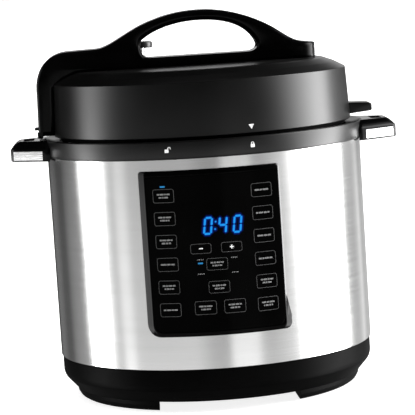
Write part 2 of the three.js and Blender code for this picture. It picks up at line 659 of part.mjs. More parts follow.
function lidHandle() {
  const half = GRIP_WIDTH / 2;
  const corner = 15; // in plan, at the handle's free end
  const cornerX = GRIP_END_X - corner;
  const plan = new THREE.Shape();
  plan.moveTo(ARM_X - CLEAR, -half);
  plan.lineTo(cornerX, -half);
  plan.absarc(cornerX, -half + corner, corner, -Math.PI / 2, 0, false);
  plan.absarc(cornerX, half - corner, corner, 0, Math.PI / 2, false);
  plan.lineTo(ARM_X - CLEAR, half);
  const bar = profiled(handleOutline(), -half, half).intersect(raised(plan, 0, FAR, 6));
  const lip = box(ARM_X, ARM_X + 2, -half, half, BAND_HIGH + 0.7, ARM_LOW + 1.6);
  const tab = box(ARM_X - 3.7, ARM_X + 1, -5, 5, 249.5, 252);
  const hollow = half - 4;
  const cavity = joined([
    box(ARM_X + 4.5, -112, -hollow, hollow, ARM_LOW - 4, 300), box(-134, -62, -hollow, hollow, 295, 315),
    box(62, GRIP_END_X - 8.5, -hollow, hollow, 295, 311),
  ]);
  const screwHoles = joined([-LID_SCREW_X, LID_SCREW_X].map((x) =>
    rod(SCREW_HOLE_R, HANDLE_LOW, 308, x, 0, 12)));
  return joined([bar, lip, tab]).subtract(profiled(handleOpening(), -half - CLEAR, half + CLEAR))
    .subtract(cavity).subtract(screwHoles).subtract(lidOutside(GAP));
}

function innerLid() {
  const low = INNER_LID_TOP - INNER_LID_WALL;
  const rimR = 118.4;
  const insideR = rimR - INNER_LID_WALL;
  const pan = turned([
    [0, low], [107, low], [116, 251], [insideR, 248], [insideR, TAB_LOW], [rimR, TAB_LOW],
    [rimR, 248.4], [rimR - 1.4, 252], [107.6, INNER_LID_TOP], [0, INNER_LID_TOP],
  ], INNER_SEGMENTS);
  const tabs = [];
  for (let i = 0; i < LUG_COUNT; i += 1) {
    const middle = i * LUG_PITCH;
    tabs.push(arcBlock(rimR - 0.8, 123.3, TAB_LOW, TAB_HIGH, middle - TAB_HALF, middle + TAB_HALF, 4));
  }
  const holes = joined([
    rod(4.6, low - CLEAR, FAR, ...VALVE_AT), rod(3.9, low - CLEAR, FAR, ...FLOAT_AT),
    rod(3.3, low - CLEAR, FAR),
  ]);
  return joined([pan, ...tabs]).subtract(holes);
}

// The plastic ring that closes the lid's underside, with the fork that drives the lock slider
function lidUnderside() {
  const ring = shellRing(120.5, 132.6, 247, 249.4);
  const prongs = [-9.5, 6.5].map((from) => arcBlock(
    126, 130.6, 238.6, 247.5, SLIDER_AZIMUTH + from, SLIDER_AZIMUTH + from + 3, 2));
  return joined([ring, ...prongs]);
}

function lockSlider() {
  const shoe = arcBlock(127, 132.4, 234.4, 237.6, SLIDER_AZIMUTH - 9, SLIDER_AZIMUTH + 9, 5);
  const peg = arcBlock(126.6, 130.4, 237, 243, SLIDER_AZIMUTH - 5.6, SLIDER_AZIMUTH + 5.6, 4);
  return shoe.add(peg);
}

function sealingRing() {
  return turned([
    [107.4, 220.6], [109.4, 220.2], [114.6, 220.2], [116.6, 221.8], [116.6, 229.4],
    [113.8, 229.4], [112.6, 224.6], [107.4, 223.2],
  ], INNER_SEGMENTS);
}

function sealingRack() {
  const innerR = 109.2;
  const ring = turned([
    [innerR, 226], [innerR + 1.4, 225.2], [innerR + 2.2, 226.4], [innerR + 2.2, 229], [innerR, 229],
  ], INNER_SEGMENTS);
  const posts = [0, 120, 240].map((azimuth) => rod(1.4, 227, 253.4, ...polar(innerR, azimuth), 8));
  return joined([ring, ...posts]);
}

function exhaustPipe() {
  const bore = 1.7;
  const shoulder = INNER_LID_TOP - INNER_LID_WALL - GAP;
  return turned([
    [bore, 247.5], [4, 247.5], [4, 254.6], [7, 254.6], [7, shoulder],
    [4, shoulder], [4, 310], [2.6, 312], [bore, 312],
  ], ROUND_SEGMENTS);
}

function hexNut(holeR, cornerR, zLow, zHigh) {
  return rod(cornerR, zLow, zHigh, 0, 0, 6).subtract(rod(holeR, zLow - 1, zHigh + 1, 0, 0, 12));
}

function steamValve() {
  const body = turned([
    [4.5, 302], [5.7, 302], [5.7, 317.8], [12.4, 317.8], [13, 318.4], [13, 322.8], [12.2, 323.6],
    [0, 323.6], [0, 315], [4.5, 315],
  ], 20);
  return body.add(box(-3, 3, 9, 27, 318.4, 322.6));
}

function valveShield() {
  const cup = turned([
    [4.4, 248.4], [13, 248.4], [15, 246], [15, 236], [0, 236], [0, 234.6],
    [16.2, 234.6], [16.2, 247], [13.6, 249.8], [4.4, 249.8],
  ], 16);
  const slots = [0, 45, 90, 135].map((azimuth) =>
    box(-20, 20, -1, 1, 237.5, 244).rotate([0, 0, azimuth]));
  return cup.subtract(joined(slots));
}

function floatValve() {
  return turned([
    [0, 247.6], [5, 247.6], [6, 248.4], [6, 250.4], [3.3, 250.4], [3.3, 301.4], [2.5, 302.4], [0, 302.4],
  ], 20);
}

function floatSeal() {
  return turned([
    [0, 245], [5.6, 245], [6.6, 246], [6.6, 247.3], [0, 247.3],
  ], 14);
}

function lidStud() {
  return turned([
    [0, 253.6], [7, 253.6], [8, 254.6], [8, INNER_LID_TOP - 1.5], [3, INNER_LID_TOP - 1.5],
    [3, 296.6], [0, 296.6],
  ], 14);
}

// Assembly

function part(parent, name, solid, material, position = [0, 0, 0], turn = 0) {
  const mesh = new THREE.Mesh(toGeometry(solid), material);
  mesh.name = name;
  mesh.position.set(...position);
  mesh.rotation.z = THREE.MathUtils.degToRad(turn);
  parent.add(mesh);
  return mesh;
}

function baseAssembly() {
  const group = new THREE.Group();
  part(group, 'base_tub', baseTub(), mattBlack);
  part(group, 'bottom_cover', bottomCover(), mattBlack);
  PAD_AZIMUTHS.forEach((azimuth, i) => {
    part(group, `foot_pad_${i + 1}`, footPad(), rubber, [...polar(PAD_PLACE_R, azimuth), 0]);
  });
  BASE_SCREW_AZIMUTHS.forEach((azimuth, i) => {
    const place = [...polar(BASE_SCREW_R, azimuth), COVER_LOW - GAP];
    part(group, `base_screw_${i + 1}`, screw(13), polishedSteel, place);
  });
  part(group, 'power_board', powerBoard(), circuitGreen);
  part(group, 'power_inlet', powerInlet(), mattBlack);
  part(group, 'pressure_switch', pressureSwitch(), insulator);
  part(group, 'thermal_fuse', thermalFuse(), insulator);
  return group;
}

function housingAssembly() {
  const group = new THREE.Group();
  part(group, 'steel_housing', steelHousing(), brushedSteel);
  part(group, 'rim_collar', rimCollar(), satinBlack);
  part(group, 'side_handle_right', sideHandle(), glossBlack);
  part(group, 'side_handle_left', sideHandle(), glossBlack, [0, 0, 0], 180);
  part(group, 'handle_trim_right', handleTrim(), trimSilver);
  part(group, 'handle_trim_left', handleTrim(), trimSilver, [0, 0, 0], 180);
  part(group, 'cup_rails', cupRails(), mattBlack);
  part(group, 'condensation_cup', condensationCup(), clearPlastic);
  return group;
}

function panelAssembly() {
  const group = new THREE.Group();
  part(group, 'control_bezel', controlBezel(), glossBlack);
  part(group, 'control_overlay', controlOverlay(), glossBlack);
  part(group, 'display_module', displayModule(), displayBlue);
  part(group, 'control_board', controlBoard(), circuitGreen);
  return group;
}

function heatingAssembly() {
  const group = new THREE.Group();
  part(group, 'outer_pot', outerPot(), castAluminium);
  part(group, 'heat_shield', heatShield(), castAluminium);
  part(group, 'heating_plate', heatingPlate(), castAluminium);
  part(group, 'sensor_seat', sensorSeat(), polishedSteel);
  part(group, 'sensor_spring', sensorSpring(), polishedSteel);
  part(group, 'temperature_sensor', temperatureSensor(), polishedSteel);
  part(group, 'inner_pot', innerPot(), polishedSteel);
  part(group, 'lock_slider', lockSlider(), mattBlack);
  return group;
}

function lidAssembly() {
  const group = new THREE.Group();
  part(group, 'lid_cover', lidCover(), satinBlack);
  part(group, 'lid_handle', lidHandle(), glossBlack);
  part(group, 'lid_underside', lidUnderside(), mattBlack);
  part(group, 'inner_lid', innerLid(), polishedSteel);
  part(group, 'sealing_ring', sealingRing(), silicone);
  part(group, 'sealing_rack', sealingRack(), polishedSteel);
  part(group, 'exhaust_pipe', exhaustPipe(), polishedSteel, [...VALVE_AT, 0]);
  part(group, 'pipe_nut', hexNut(4.4, 8, INNER_LID_TOP + GAP, 263), polishedSteel, [...VALVE_AT, 0]);
  part(group, 'steam_valve', steamValve(), trimSilver, [...VALVE_AT, 0]);
  part(group, 'valve_shield', valveShield(), polishedSteel, [...VALVE_AT, 0]);
  part(group, 'float_valve', floatValve(), polishedSteel, [...FLOAT_AT, 0]);
  part(group, 'float_seal', floatSeal(), silicone, [...FLOAT_AT, 0]);
  part(group, 'lid_stud', lidStud(), polishedSteel);
  part(group, 'stud_nut', hexNut(3.4, 9, INNER_LID_TOP + GAP, 264), polishedSteel);
  [-LID_SCREW_X, LID_SCREW_X].forEach((x, i) => {
    part(group, `handle_screw_${i + 1}`, screw(10), polishedSteel, [x, 0, LID_TOP - LID_WALL - GAP]);
  });
  return group;
}

const cooker = new THREE.Group();
cooker.position.y = AXIS_Y;
cooker.add(baseAssembly(), housingAssembly(), panelAssembly(), heatingAssembly(), lidAssembly());

export default cooker;
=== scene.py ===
"""An electric pressure cooker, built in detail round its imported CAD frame.

A piece is drawn in millimetres about the pot's upright axis, with z from the floor. Azimuths are in
degrees from the front (-Y) towards +X. finished() turns a piece into metres in the row frame.
"""
import math

import bmesh
import bpy
from mathutils import Matrix, Vector


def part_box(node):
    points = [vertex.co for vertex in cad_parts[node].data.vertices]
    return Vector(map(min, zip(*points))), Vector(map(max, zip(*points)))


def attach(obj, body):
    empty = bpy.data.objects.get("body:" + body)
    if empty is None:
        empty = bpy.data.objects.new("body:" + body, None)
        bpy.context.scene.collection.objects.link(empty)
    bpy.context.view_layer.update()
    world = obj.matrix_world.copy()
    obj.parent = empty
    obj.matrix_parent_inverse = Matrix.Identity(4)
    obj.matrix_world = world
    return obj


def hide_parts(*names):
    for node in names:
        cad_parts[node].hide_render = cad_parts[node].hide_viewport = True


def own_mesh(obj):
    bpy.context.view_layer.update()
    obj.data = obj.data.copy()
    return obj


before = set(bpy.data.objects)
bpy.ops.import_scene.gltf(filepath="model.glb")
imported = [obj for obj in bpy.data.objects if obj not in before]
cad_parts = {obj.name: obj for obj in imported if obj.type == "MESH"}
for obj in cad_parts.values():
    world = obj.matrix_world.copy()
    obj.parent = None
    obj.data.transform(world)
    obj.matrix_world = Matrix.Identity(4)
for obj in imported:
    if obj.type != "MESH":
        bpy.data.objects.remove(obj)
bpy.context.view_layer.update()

MM = 0.001
FINEST = 160  # segments round the largest pieces, and round smaller ones below
SMOOTH = 128
MEDIUM = 64
SMALL = 32
TINY = 16


# Sizes, from the frame

def row_box(node):
    """A CAD node's lowest and highest corners, in millimetres in the row frame."""
    low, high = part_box(node)
    return low / MM, high / MM


AXIS_Y = sum(corner.y for corner in row_box("outer_pot")) / 2


def box_of(node):
    """A CAD node's lowest and highest corners, in millimetres about the pot's axis."""
    shift = Vector((0, AXIS_Y, 0))
    low, high = row_box(node)
    return low - shift, high - shift


def heights(node):
    """A CAD node's lowest and highest z."""
    return [corner.z for corner in box_of(node)]


steel_low, steel_high = box_of("steel_housing")
band_low, band_high = box_of("rim_collar")
tub_low, tub_high = box_of("base_tub")
lid_low, lid_high = box_of("lid_cover")
grip_low, grip_high = box_of("lid_handle")
side_low, side_high = box_of("side_handle_right")
trim_low, trim_high = box_of("handle_trim_right")
bezel_low, bezel_high = box_of("control_bezel")
overlay_low, overlay_high = box_of("control_overlay")
pot_low, pot_high = box_of("inner_pot")
liner_low, liner_high = box_of("outer_pot")
cup_low, cup_high = box_of("condensation_cup")
rails_high = box_of("cup_rails")[1]
inlet_low, inlet_high = box_of("power_inlet")
valve_low, valve_high = box_of("steam_valve")
float_low, float_high = box_of("float_valve")

STEEL_R = steel_high.x
BAND_R = band_high.x
BASE_R = tub_high.x
LID_R = lid_high.y
PANEL_R = -overlay_low.y  # outside of the panel's overlay
VALVE_X = valve_high.x - 13
VALVE_Y = valve_low.y + 13
FLOAT_X = (float_low.x + float_high.x) / 2
FLOAT_Y = (float_low.y + float_high.y) / 2


# Shape tools

def polar(radius, azimuth, z=0.0):
    angle = math.radians(azimuth)
    return Vector((radius * math.sin(angle), -radius * math.cos(angle), z))


def rounded(corners, steps=4):
    """A closed outline with round corners. A corner is (a, b) or (a, b, radius)."""
    outline = []
    for i, corner in enumerate(corners):
        here = Vector(corner[:2])
        radius = corner[2] if len(corner) > 2 else 0
        if not radius:
            outline.append(here)
            continue
        before = Vector(corners[i - 1][:2]) - here
        after = Vector(corners[(i + 1) % len(corners)][:2]) - here
        half = before.angle(after) / 2
        away = min(radius / math.tan(half), before.length * 0.49, after.length * 0.49)
        start = here + before.normalized() * away
        end = here + after.normalized() * away
        weight = math.sin(half)
        for k in range(steps + 1):
            t = k / steps
            parts = ((1 - t) ** 2, 2 * weight * t * (1 - t), t * t)
            outline.append((start * parts[0] + here * parts[1] + end * parts[2]) / sum(parts))
    return outline


def circle(radius, count, x=0.0, y=0.0):
    turns = [2 * math.pi * i / count for i in range(count)]
    return [Vector((x + radius * math.cos(a), y + radius * math.sin(a))) for a in turns]


def oblong(u_low, u_high, v_low, v_high, radius, steps=4):
    corners = [(u_low, v_low), (u_high, v_low), (u_high, v_high), (u_low, v_high)]
    return rounded([(*corner, radius) for corner in corners], steps)


def bezier(*points, steps=14):
    """Points of a chain of cubic curves: start, then two handles and an end for each."""
    line = [Vector(points[0])]
    for i in range(1, len(points), 3):
        a, (b, c, d) = line[-1], (Vector(p) for p in points[i:i + 3])
        for k in range(1, steps + 1):
            t = k / steps
            line.append(a * (1 - t) ** 3 + b * 3 * t * (1 - t) ** 2 + c * 3 * t * t * (1 - t) + d * t ** 3)
    return line


def skin(rings, closed=False, caps=True):
    """A bmesh over rings of points that correspond."""
    form = bmesh.new()
    loops = [[form.verts.new(point) for point in ring] for ring in rings]
    pairs = list(zip(loops, loops[1:] + loops[:1])) if closed else list(zip(loops, loops[1:]))
    for a, b in pairs:
        for i in range(len(a)):
            j = (i + 1) % len(a)
            form.faces.new((a[i], a[j], b[j], b[i]))
    if caps and not closed:
        form.faces.new(loops[0])
        form.faces.new(reversed(loops[-1]))
    return cleaned(form)


def cleaned(form):
    bmesh.ops.remove_doubles(form, verts=form.verts, dist=1e-4)
    bmesh.ops.dissolve_degenerate(form, edges=form.edges, dist=1e-5)
    bmesh.ops.recalc_face_normals(form, faces=form.faces)
    return form


def turned(corners, segments=SMOOTH, start=None, end=None, steps=4):
    """An outline of (radius, z) corners turned about the axis, all round or between two azimuths."""
    outline = rounded(corners, steps)
    if start is None:
        azimuths = [360 * i / segments for i in range(segments)]
    else:
        azimuths = [start + (end - start) * i / segments for i in range(segments + 1)]
    return skin([[polar(p.x, a, p.y) for p in outline] for a in azimuths], closed=start is None)


def post(radius, low, high, x=0.0, y=0.0, segments=SMALL):
    """A plain upright cylinder."""
    return moved(turned([(0, low), (radius, low), (radius, high), (0, high)], segments), x, y)


def slab(outlines, low, high, edge=0.0):
    """A plate over closed outlines, the inner ones its holes, with rounded edges."""
    curve = bpy.data.curves.new("outline", "CURVE")
    curve.dimensions = "2D"
    curve.fill_mode = "BOTH"
    curve.extrude = (high - low) / 2 - edge
    curve.bevel_depth = edge
    curve.bevel_resolution = 4
    curve.offset = -edge
    for outline in outlines:
        spline = curve.splines.new("POLY")
        spline.points.add(len(outline) - 1)
        spline.use_cyclic_u = True
        for point, place in zip(spline.points, outline):
            point.co = (place.x, place.y, 0, 1)
    holder = bpy.data.objects.new("outline", curve)
    mesh = bpy.data.meshes.new_from_object(holder)
    form = bmesh.new()
    form.from_mesh(mesh)
    bmesh.ops.translate(form, verts=form.verts, vec=(0, 0, (low + high) / 2))
    bpy.data.objects.remove(holder)
    bpy.data.curves.remove(curve)
    bpy.data.meshes.remove(mesh)
    return cleaned(form)


def block(low, high, edge=0.0, axis="z"):
    """A rounded block between two corners, its outline seen along an axis."""
    order = {"x": (1, 2, 0), "y": (0, 2, 1), "z": (0, 1, 2)}[axis]
    u, v, w = order
    form = slab([oblong(low[u], high[u], low[v], high[v], edge * 1.5 + 0.01)], low[w], high[w], edge)
    return reordered(form, order)


def reordered(form, order):
    """Sends the form's first axis to the axis that order names first, and so on."""
    for vertex in form.verts:
        place = vertex.co.copy()
        for source, target in enumerate(order):
            vertex.co[target] = place[source]
    bmesh.ops.recalc_face_normals(form, faces=form.faces)
    return form


def from_front(form):
    """A form drawn as [x, z] with its thickness along y."""
    return reordered(form, (0, 2, 1))


def sliced(form, axis, places):
    """Cuts a form's faces at these places along an axis, so that it can bend."""
    normal = Vector((0, 0, 0))
    normal[axis] = 1
    for place in places:
        geometry = form.verts[:] + form.edges[:] + form.faces[:]
        bmesh.ops.bisect_plane(form, geom=geometry, plane_co=normal * place, plane_no=normal)
    return form


def on_drum(form, radius, pitch=4.0):
    """Bends a form drawn flat, as (along the front, height, outwards), round the axis."""
    reach = max(abs(v.co.x) for v in form.verts)
    steps = int(reach / pitch)
    sliced(form, 0, [pitch * i for i in range(-steps, steps + 1)])
    for vertex in form.verts:
        u, v, w = vertex.co
        vertex.co = polar(radius + w, math.degrees(u / radius), v)
    bmesh.ops.recalc_face_normals(form, faces=form.faces)
    return form


def joined(*forms):
    """One bmesh that holds several closed forms."""
    whole = bmesh.new()
    for form in forms:
        mesh = bpy.data.meshes.new("part")
        form.to_mesh(mesh)
        form.free()
        whole.from_mesh(mesh)
        bpy.data.meshes.remove(mesh)
    return whole


def moved(form, x=0.0, y=0.0, z=0.0, turn=0.0):
    spin = Matrix.Rotation(math.radians(turn), 4, "Z")
    bmesh.ops.transform(form, matrix=Matrix.Translation((x, y, z)) @ spin, verts=form.verts)
    return form


def combined(form, operation, *others):
    """The form after a solid operation with each of the other forms."""
    target = plain_object("target", form)
    for other in others:
        tool = plain_object("tool", other)
        step = target.modifiers.new("step", "BOOLEAN")
        step.object = tool
        step.operation = operation
        step.solver = "EXACT"
        bpy.context.view_layer.update()
        depsgraph = bpy.context.evaluated_depsgraph_get()
        mesh = bpy.data.meshes.new_from_object(target.evaluated_get(depsgraph))
        target.modifiers.clear()
        target.data = mesh
        bpy.data.objects.remove(tool)
    result = bmesh.new()
    result.from_mesh(target.data)
    bpy.data.objects.remove(target)
    return cleaned(result)


def carved(form, *cutters):
    return combined(form, "DIFFERENCE", *cutters)


def common(form, other):
    return combined(form, "INTERSECT", other)


def plain_object(name, form):
    mesh = bpy.data.meshes.new(name)
    form.to_mesh(mesh)
    form.free()
    made = bpy.data.objects.new(name, mesh)
    bpy.context.scene.collection.objects.link(made)
    return made


def finished(name, form, material, stands_for=None, body="base", slot=None, bevel=0.0, crease=32):
    """Makes a piece of the object: places it, shades it and ties it to its CAD body.

    Its slot argument is not used. Blender numbers a name that the frame has already, as in gloss_black.001.
    """
    slot = slot or material.name.split(".")[0]
    bmesh.ops.scale(form, vec=(MM, MM, MM), verts=form.verts)
    bmesh.ops.translate(form, vec=(0, AXIS_Y * MM, 0), verts=form.verts)
    made = plain_object(name, form)
    mesh = made.data
    mesh.materials.append(material)
    mesh.polygons.foreach_set("use_smooth", [True] * len(mesh.polygons))
    mesh.set_sharp_from_angle(angle=math.radians(crease))
    if bevel:
        soft = made.modifiers.new("soft edges", "BEVEL")
        soft.width = bevel * MM
        soft.segments = 3
        soft.limit_method = "ANGLE"
        soft.angle_limit = math.radians(40)
        soft.harden_normals = True
    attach(made, body)
    if stands_for:
        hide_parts(stands_for)
    return made


# Materials

class Nodes:
    """Adds nodes to a tree."""

    def __init__(self, tree):
        self.tree = tree

    def node(self, kind, inputs=None, **settings):
        made = self.tree.nodes.new(kind)
        for key, value in settings.items():
            setattr(made, key, value)
        for key, value in (inputs or {}).items():
            if isinstance(value, bpy.types.NodeSocket):
                self.tree.links.new(value, made.inputs[key])
            else:
                made.inputs[key].default_value = value
        return made

    def math(self, operation, a, b=0.0):
        return self.node("ShaderNodeMath", {0: a, 1: b}, operation=operation).outputs[0]


class Finish(Nodes):
    """A procedural material, started from its plain values and worked up with patterns."""

    def __init__(self, name, colour, roughness, metallic=0.0, **settings):
        self.material = bpy.data.materials.new(name)
        self.material.use_nodes = True
        super().__init__(self.material.node_tree)
        self.shader = self.tree.nodes["Principled BSDF"]
        values = {"Base Color": (*colour, 1), "Roughness": roughness, "Metallic": metallic}
        values.update({key.replace("_", " "): value for key, value in settings.items()})
        for socket, value in values.items():
            self.shader.inputs[socket].default_value = value
        self.place = self.node("ShaderNodeTexCoord").outputs["Object"]
        self.normal = None

    def drum_place(self, radius):
        """Places as (way round the axis, height), in metres, so that a grain can run round the body."""
        split = self.node("ShaderNodeSeparateXYZ", {0: self.place})
        from_axis = self.math("SUBTRACT", split.outputs["Y"], AXIS_Y * MM)
        angle = self.math("ARCTAN2", split.outputs["X"], from_axis)
        along = self.math("MULTIPLY", angle, radius * MM)
        return self.node("ShaderNodeCombineXYZ", {"X": along, "Z": split.outputs["Z"]}).outputs[0]

    def noise(self, scale, detail=3.0, stretch=(1, 1, 1), place=None):
        mapped = self.node("ShaderNodeMapping", {"Vector": place or self.place, "Scale": stretch})
        pattern = self.node("ShaderNodeTexNoise", {
            "Vector": mapped.outputs[0], "Scale": scale, "Detail": detail})
        return pattern.outputs["Fac"]

    def range(self, pattern, low, high, start=0.3, end=0.7):
        return self.node("ShaderNodeMapRange", {
            "Value": pattern, "From Min": start, "From Max": end, "To Min": low, "To Max": high}).outputs[0]

    def vary(self, socket, pattern, low, high, start=0.3, end=0.7):
        self.tree.links.new(self.range(pattern, low, high, start, end), self.shader.inputs[socket])
        return self

    def tint(self, pattern, dark, light, start=0.3, end=0.7, socket="Base Color"):
        share = self.range(pattern, 0.0, 1.0, start, end)
        mix = self.node("ShaderNodeMix", {0: share, 6: (*dark, 1), 7: (*light, 1)}, data_type="RGBA")
        self.tree.links.new(mix.outputs[2], self.shader.inputs[socket])
        return self

    def bump(self, pattern, depth, strength=1.0):
        """Relief of this depth in millimetres."""
        inputs = {"Height": pattern, "Distance": depth * MM, "Strength": strength}
        if self.normal:
            inputs["Normal"] = self.normal
        self.normal = self.node("ShaderNodeBump", inputs).outputs[0]
        self.tree.links.new(self.normal, self.shader.inputs["Normal"])
        return self


def grey(value, cool=0.0):
    return (value, value, value * (1 + cool))


def mottled(name, colour, roughness, noise, tints, roughs, *reliefs, **settings):
    """A finish whose colour and roughness follow one noise, over reliefs of (noise, depth, strength)."""
    finish = Finish(name, colour, roughness, **settings)
    pattern = finish.noise(*noise)
    finish.tint(pattern, *tints)
    finish.vary("Roughness", pattern, *roughs)
    for relief, depth, strength in reliefs:
        finish.bump(finish.noise(*relief), depth, strength)
    return finish.material


def steel(name, colour, rough_low, rough_high, radius, grain=900.0, anisotropic=0.75, depth=0.006):
    """Stainless steel with its grain running round the pot's axis."""
    finish = Finish(name, grey(colour), rough_low, 1.0, Anisotropic=anisotropic, Anisotropic_Rotation=0.25)
    round_the_body = finish.drum_place(radius)
    fine = finish.noise(grain, 4, (0.012, 1, 1), round_the_body)
    broad = finish.noise(grain / 8, 5, (0.02, 1, 1), round_the_body)
    streaks = finish.math("ADD", fine, finish.math("MULTIPLY", broad, 0.6))
    finish.tint(streaks, grey(colour * 0.93, -0.01), grey(min(colour * 1.06, 0.98)), 0.5, 1.1)
    finish.vary("Roughness", finish.math("ADD", fine, finish.noise(9, 3)), rough_low, rough_high, 0.7, 1.3)
    tangent = finish.node("ShaderNodeTangent", direction_type="RADIAL", axis="Z")
    finish.tree.links.new(tangent.outputs[0], finish.shader.inputs["Tangent"])
    return finish.bump(fine, depth, 0.5).material


def circuit():
    finish = Finish("circuit", (0.02, 0.13, 0.05), 0.35)
    tracks = finish.node("ShaderNodeTexVoronoi", {"Vector": finish.place, "Scale": 260.0},
                         feature="DISTANCE_TO_EDGE")
    finish.tint(tracks.outputs["Distance"], (0.12, 0.3, 0.1), (0.015, 0.11, 0.04), 0.0, 0.16)
    finish.vary("Roughness", finish.noise(300, 3), 0.28, 0.45)
    return finish.bump(tracks.outputs["Distance"], 0.05, 0.4).material


def panel_gloss(name, shine):
    """The control panel's black faces, smoother than the moulded plastic round them."""
    return mottled(name, grey(0.0005), 0.09, (14, 5, (1, 1, 2)), (grey(0.0003), grey(0.0008)), (0.07, 0.14),
                   ((90, 2), 0.02, 0.2), Specular_IOR_Level=shine)


def print_ink(name, value):
    """Screen-printed ink, a little uneven in its cover."""
    return mottled(name, grey(value), 0.5, (900, 3), (grey(value * 0.8), grey(value * 1.1)), (0.42, 0.6),
                   ((900, 3), 0.01, 0.4), Specular_IOR_Level=0.25)


def glow(name, colour):
    """Light through a display's blue segments, a little uneven."""
    finish = Finish(name, (0.0, 0.001, 0.004), 0.4, Emission_Strength=1.0, Specular_IOR_Level=0.05)
    patch = finish.noise(700, 2)
    finish.tint(patch, [c * 0.8 for c in colour], colour, socket="Emission Color")
    finish.vary("Roughness", patch, 0.3, 0.5)
    return finish.bump(patch, 0.01, 0.3).material


GLOSS = mottled(
    "gloss_black", grey(0.001), 0.14, (26, 4, (1, 1, 2.2)), (grey(0.0006), grey(0.0014, 0.05)), (0.1, 0.19),
    ((420, 2), 0.012, 0.5), ((60, 2), 0.05, 0.25), Specular_IOR_Level=0.09)
SATIN = mottled(
    "satin_black", grey(0.0014), 0.32, (18, 4), (grey(0.001), grey(0.0018)), (0.3, 0.35),
    ((2400, 2), 0.012, 0.5), ((140, 2), 0.02, 0.3), Specular_IOR_Level=0.42)
MATTE = mottled(
    "matte_black", grey(0.001), 0.45, (22, 4), (grey(0.0007), grey(0.0014)), (0.4, 0.52),
    ((1500, 3), 0.04, 0.6), Specular_IOR_Level=0.025)
BRUSHED = steel("brushed_steel", 0.74, 0.17, 0.24, STEEL_R)
POLISHED = steel("polished_steel", 0.76, 0.12, 0.2, 100, 700, 0.5, 0.003)
POT_STEEL = steel("pot_steel", 0.7, 0.22, 0.3, 110, 420, 0.6, 0.0012)
SILVER = mottled(
    "trim_silver", grey(0.8), 0.2, (1400, 3, (0.05, 0.05, 1)), (grey(0.7), grey(0.82)), (0.2, 0.32),
    ((1400, 3, (0.05, 0.05, 1)), 0.004, 0.4), metallic=0.45)
CAST = mottled(
    "cast_aluminium", (0.5, 0.51, 0.52), 0.4, (60, 5), ((0.42, 0.43, 0.44), (0.6, 0.6, 0.61)), (0.32, 0.52),
    ((700, 4), 0.05, 0.5), metallic=1.0)
SILICONE = mottled(
    "silicone", (0.5, 0.52, 0.52), 0.45, (40, 4), ((0.45, 0.47, 0.47), (0.56, 0.58, 0.58)), (0.38, 0.55),
    ((500, 2), 0.03, 0.4), Subsurface_Weight=0.3, Subsurface_Scale=0.002)
RUBBER = mottled(
    "rubber_black", grey(0.016), 0.75, (120, 4), (grey(0.012), grey(0.026)), (0.68, 0.85),
    ((1800, 3), 0.06, 0.7), Specular_IOR_Level=0.3)
CLEAR = mottled(
    "clear_plastic", (0.16, 0.17, 0.18), 0.12, (30, 3), ((0.13, 0.14, 0.145), (0.19, 0.2, 0.21)), (0.08, 0.2),
    ((90, 2), 0.04, 0.3), Alpha=0.5, Specular_IOR_Level=0.5)
INSULATOR = mottled(
    "insulator", (0.7, 0.66, 0.58), 0.5, (90, 4), ((0.6, 0.56, 0.48), (0.74, 0.7, 0.62)), (0.42, 0.6),
    ((900, 3), 0.04, 0.5))
CIRCUIT = circuit()
OVERLAY = panel_gloss("panel_gloss", 0.015)
BEZEL = panel_gloss("bezel_gloss", 0.05)
LABEL = print_ink("label_grey", 0.17)
OUTLINE = print_ink("key_outline", 0.055)
MARK = print_ink("lid_mark", 0.85)
BLUE = glow("segment_blue", (0.015, 0.36, 1.0))
LED_BLUE = glow("led_blue", (0.03, 0.26, 0.58))
# The halo and haze are painted glow: emissive finishes for wider copies of the digits, which stand in for
# light spreading round them.
PAINTED_HALO = glow("segment_painted_halo", (0.0, 0.035, 0.3))
PAINTED_HAZE = glow("segment_painted_haze", (0.0, 0.003, 0.06))


# Base

FOOT_TURN = 2.6  # the feet stand turned a little from the front
FOOT_X = 62.8  # ends of the feet along the turned axes
FOOT_Y = 7
PAD_PLACE_R = 114
PAD_AZIMUTHS = [FOOT_TURN + azimuth for azimuth in (58, 122, -122, -58)]
FLOOR_R = 132.4


def screw(low, high, flat, dome, point):
    """A pan-head screw, head down."""
    return turned([
        (0, low), (flat, low, dome), (3.4, low + dome, 0.4), (3.4, low + 2.1), (1.5, low + 2.1),
        (1.5, high - point), (0, high)], SMALL)


def base_shell():
    low, high, floor = tub_low.z, tub_high.z - 7, 9.8
    body = turned([
        (88, floor), (FLOOR_R, floor, 0.6), (142.7, 21.4, 7), (BASE_R, 25.5, 5), (BASE_R, high - 0.9, 0.4),
        (BASE_R - 1.2, high - 0.3), (142.6, high - 0.3), (142.6, high + 7, 0.5), (140.2, high + 7),
        (140.2, 25), (131.3, 12.4), (88, 12.4)])
    finished("base_shell", body, MATTE, "base_tub")


def feet():
    low = tub_low.z
    for i, azimuth in enumerate(PAD_AZIMUTHS):
        ring = turned([
            (100, low), (127, low, 1), (129.6, low + 1.7, 2), (131.5, low + 5, 3), (132.5, low + 9.4),
            (132, low + 10.4), (100, low + 10.4)])
        side, front = (1 if azimuth > 0 else -1), (-1 if abs(azimuth) < 90 else 1)
        x, y = sorted((side * FOOT_X, side * 150)), sorted((front * FOOT_Y, front * 150))
        quarter = moved(block((x[0], y[0], low - 2), (x[1], y[1], low + 20)), turn=FOOT_TURN)
        pocket = post(9.4, low - 2, low + 3.5, *polar(PAD_PLACE_R, azimuth).to_2d())
        foot = carved(common(ring, quarter), pocket)
        finished(f"foot_{i + 1}", foot, MATTE, bevel=1.1)
        pad = turned([(0, 0.7), (2.6, 0.7, 0.3), (3.2, 0), (8.2, 0, 0.7), (9, 0.9), (9, 4), (0, 4)], SMALL)
        pad = moved(pad, *polar(PAD_PLACE_R, azimuth).to_2d())
        finished(f"foot_pad_{i + 1}.rubber", pad, RUBBER, f"foot_pad_{i + 1}")


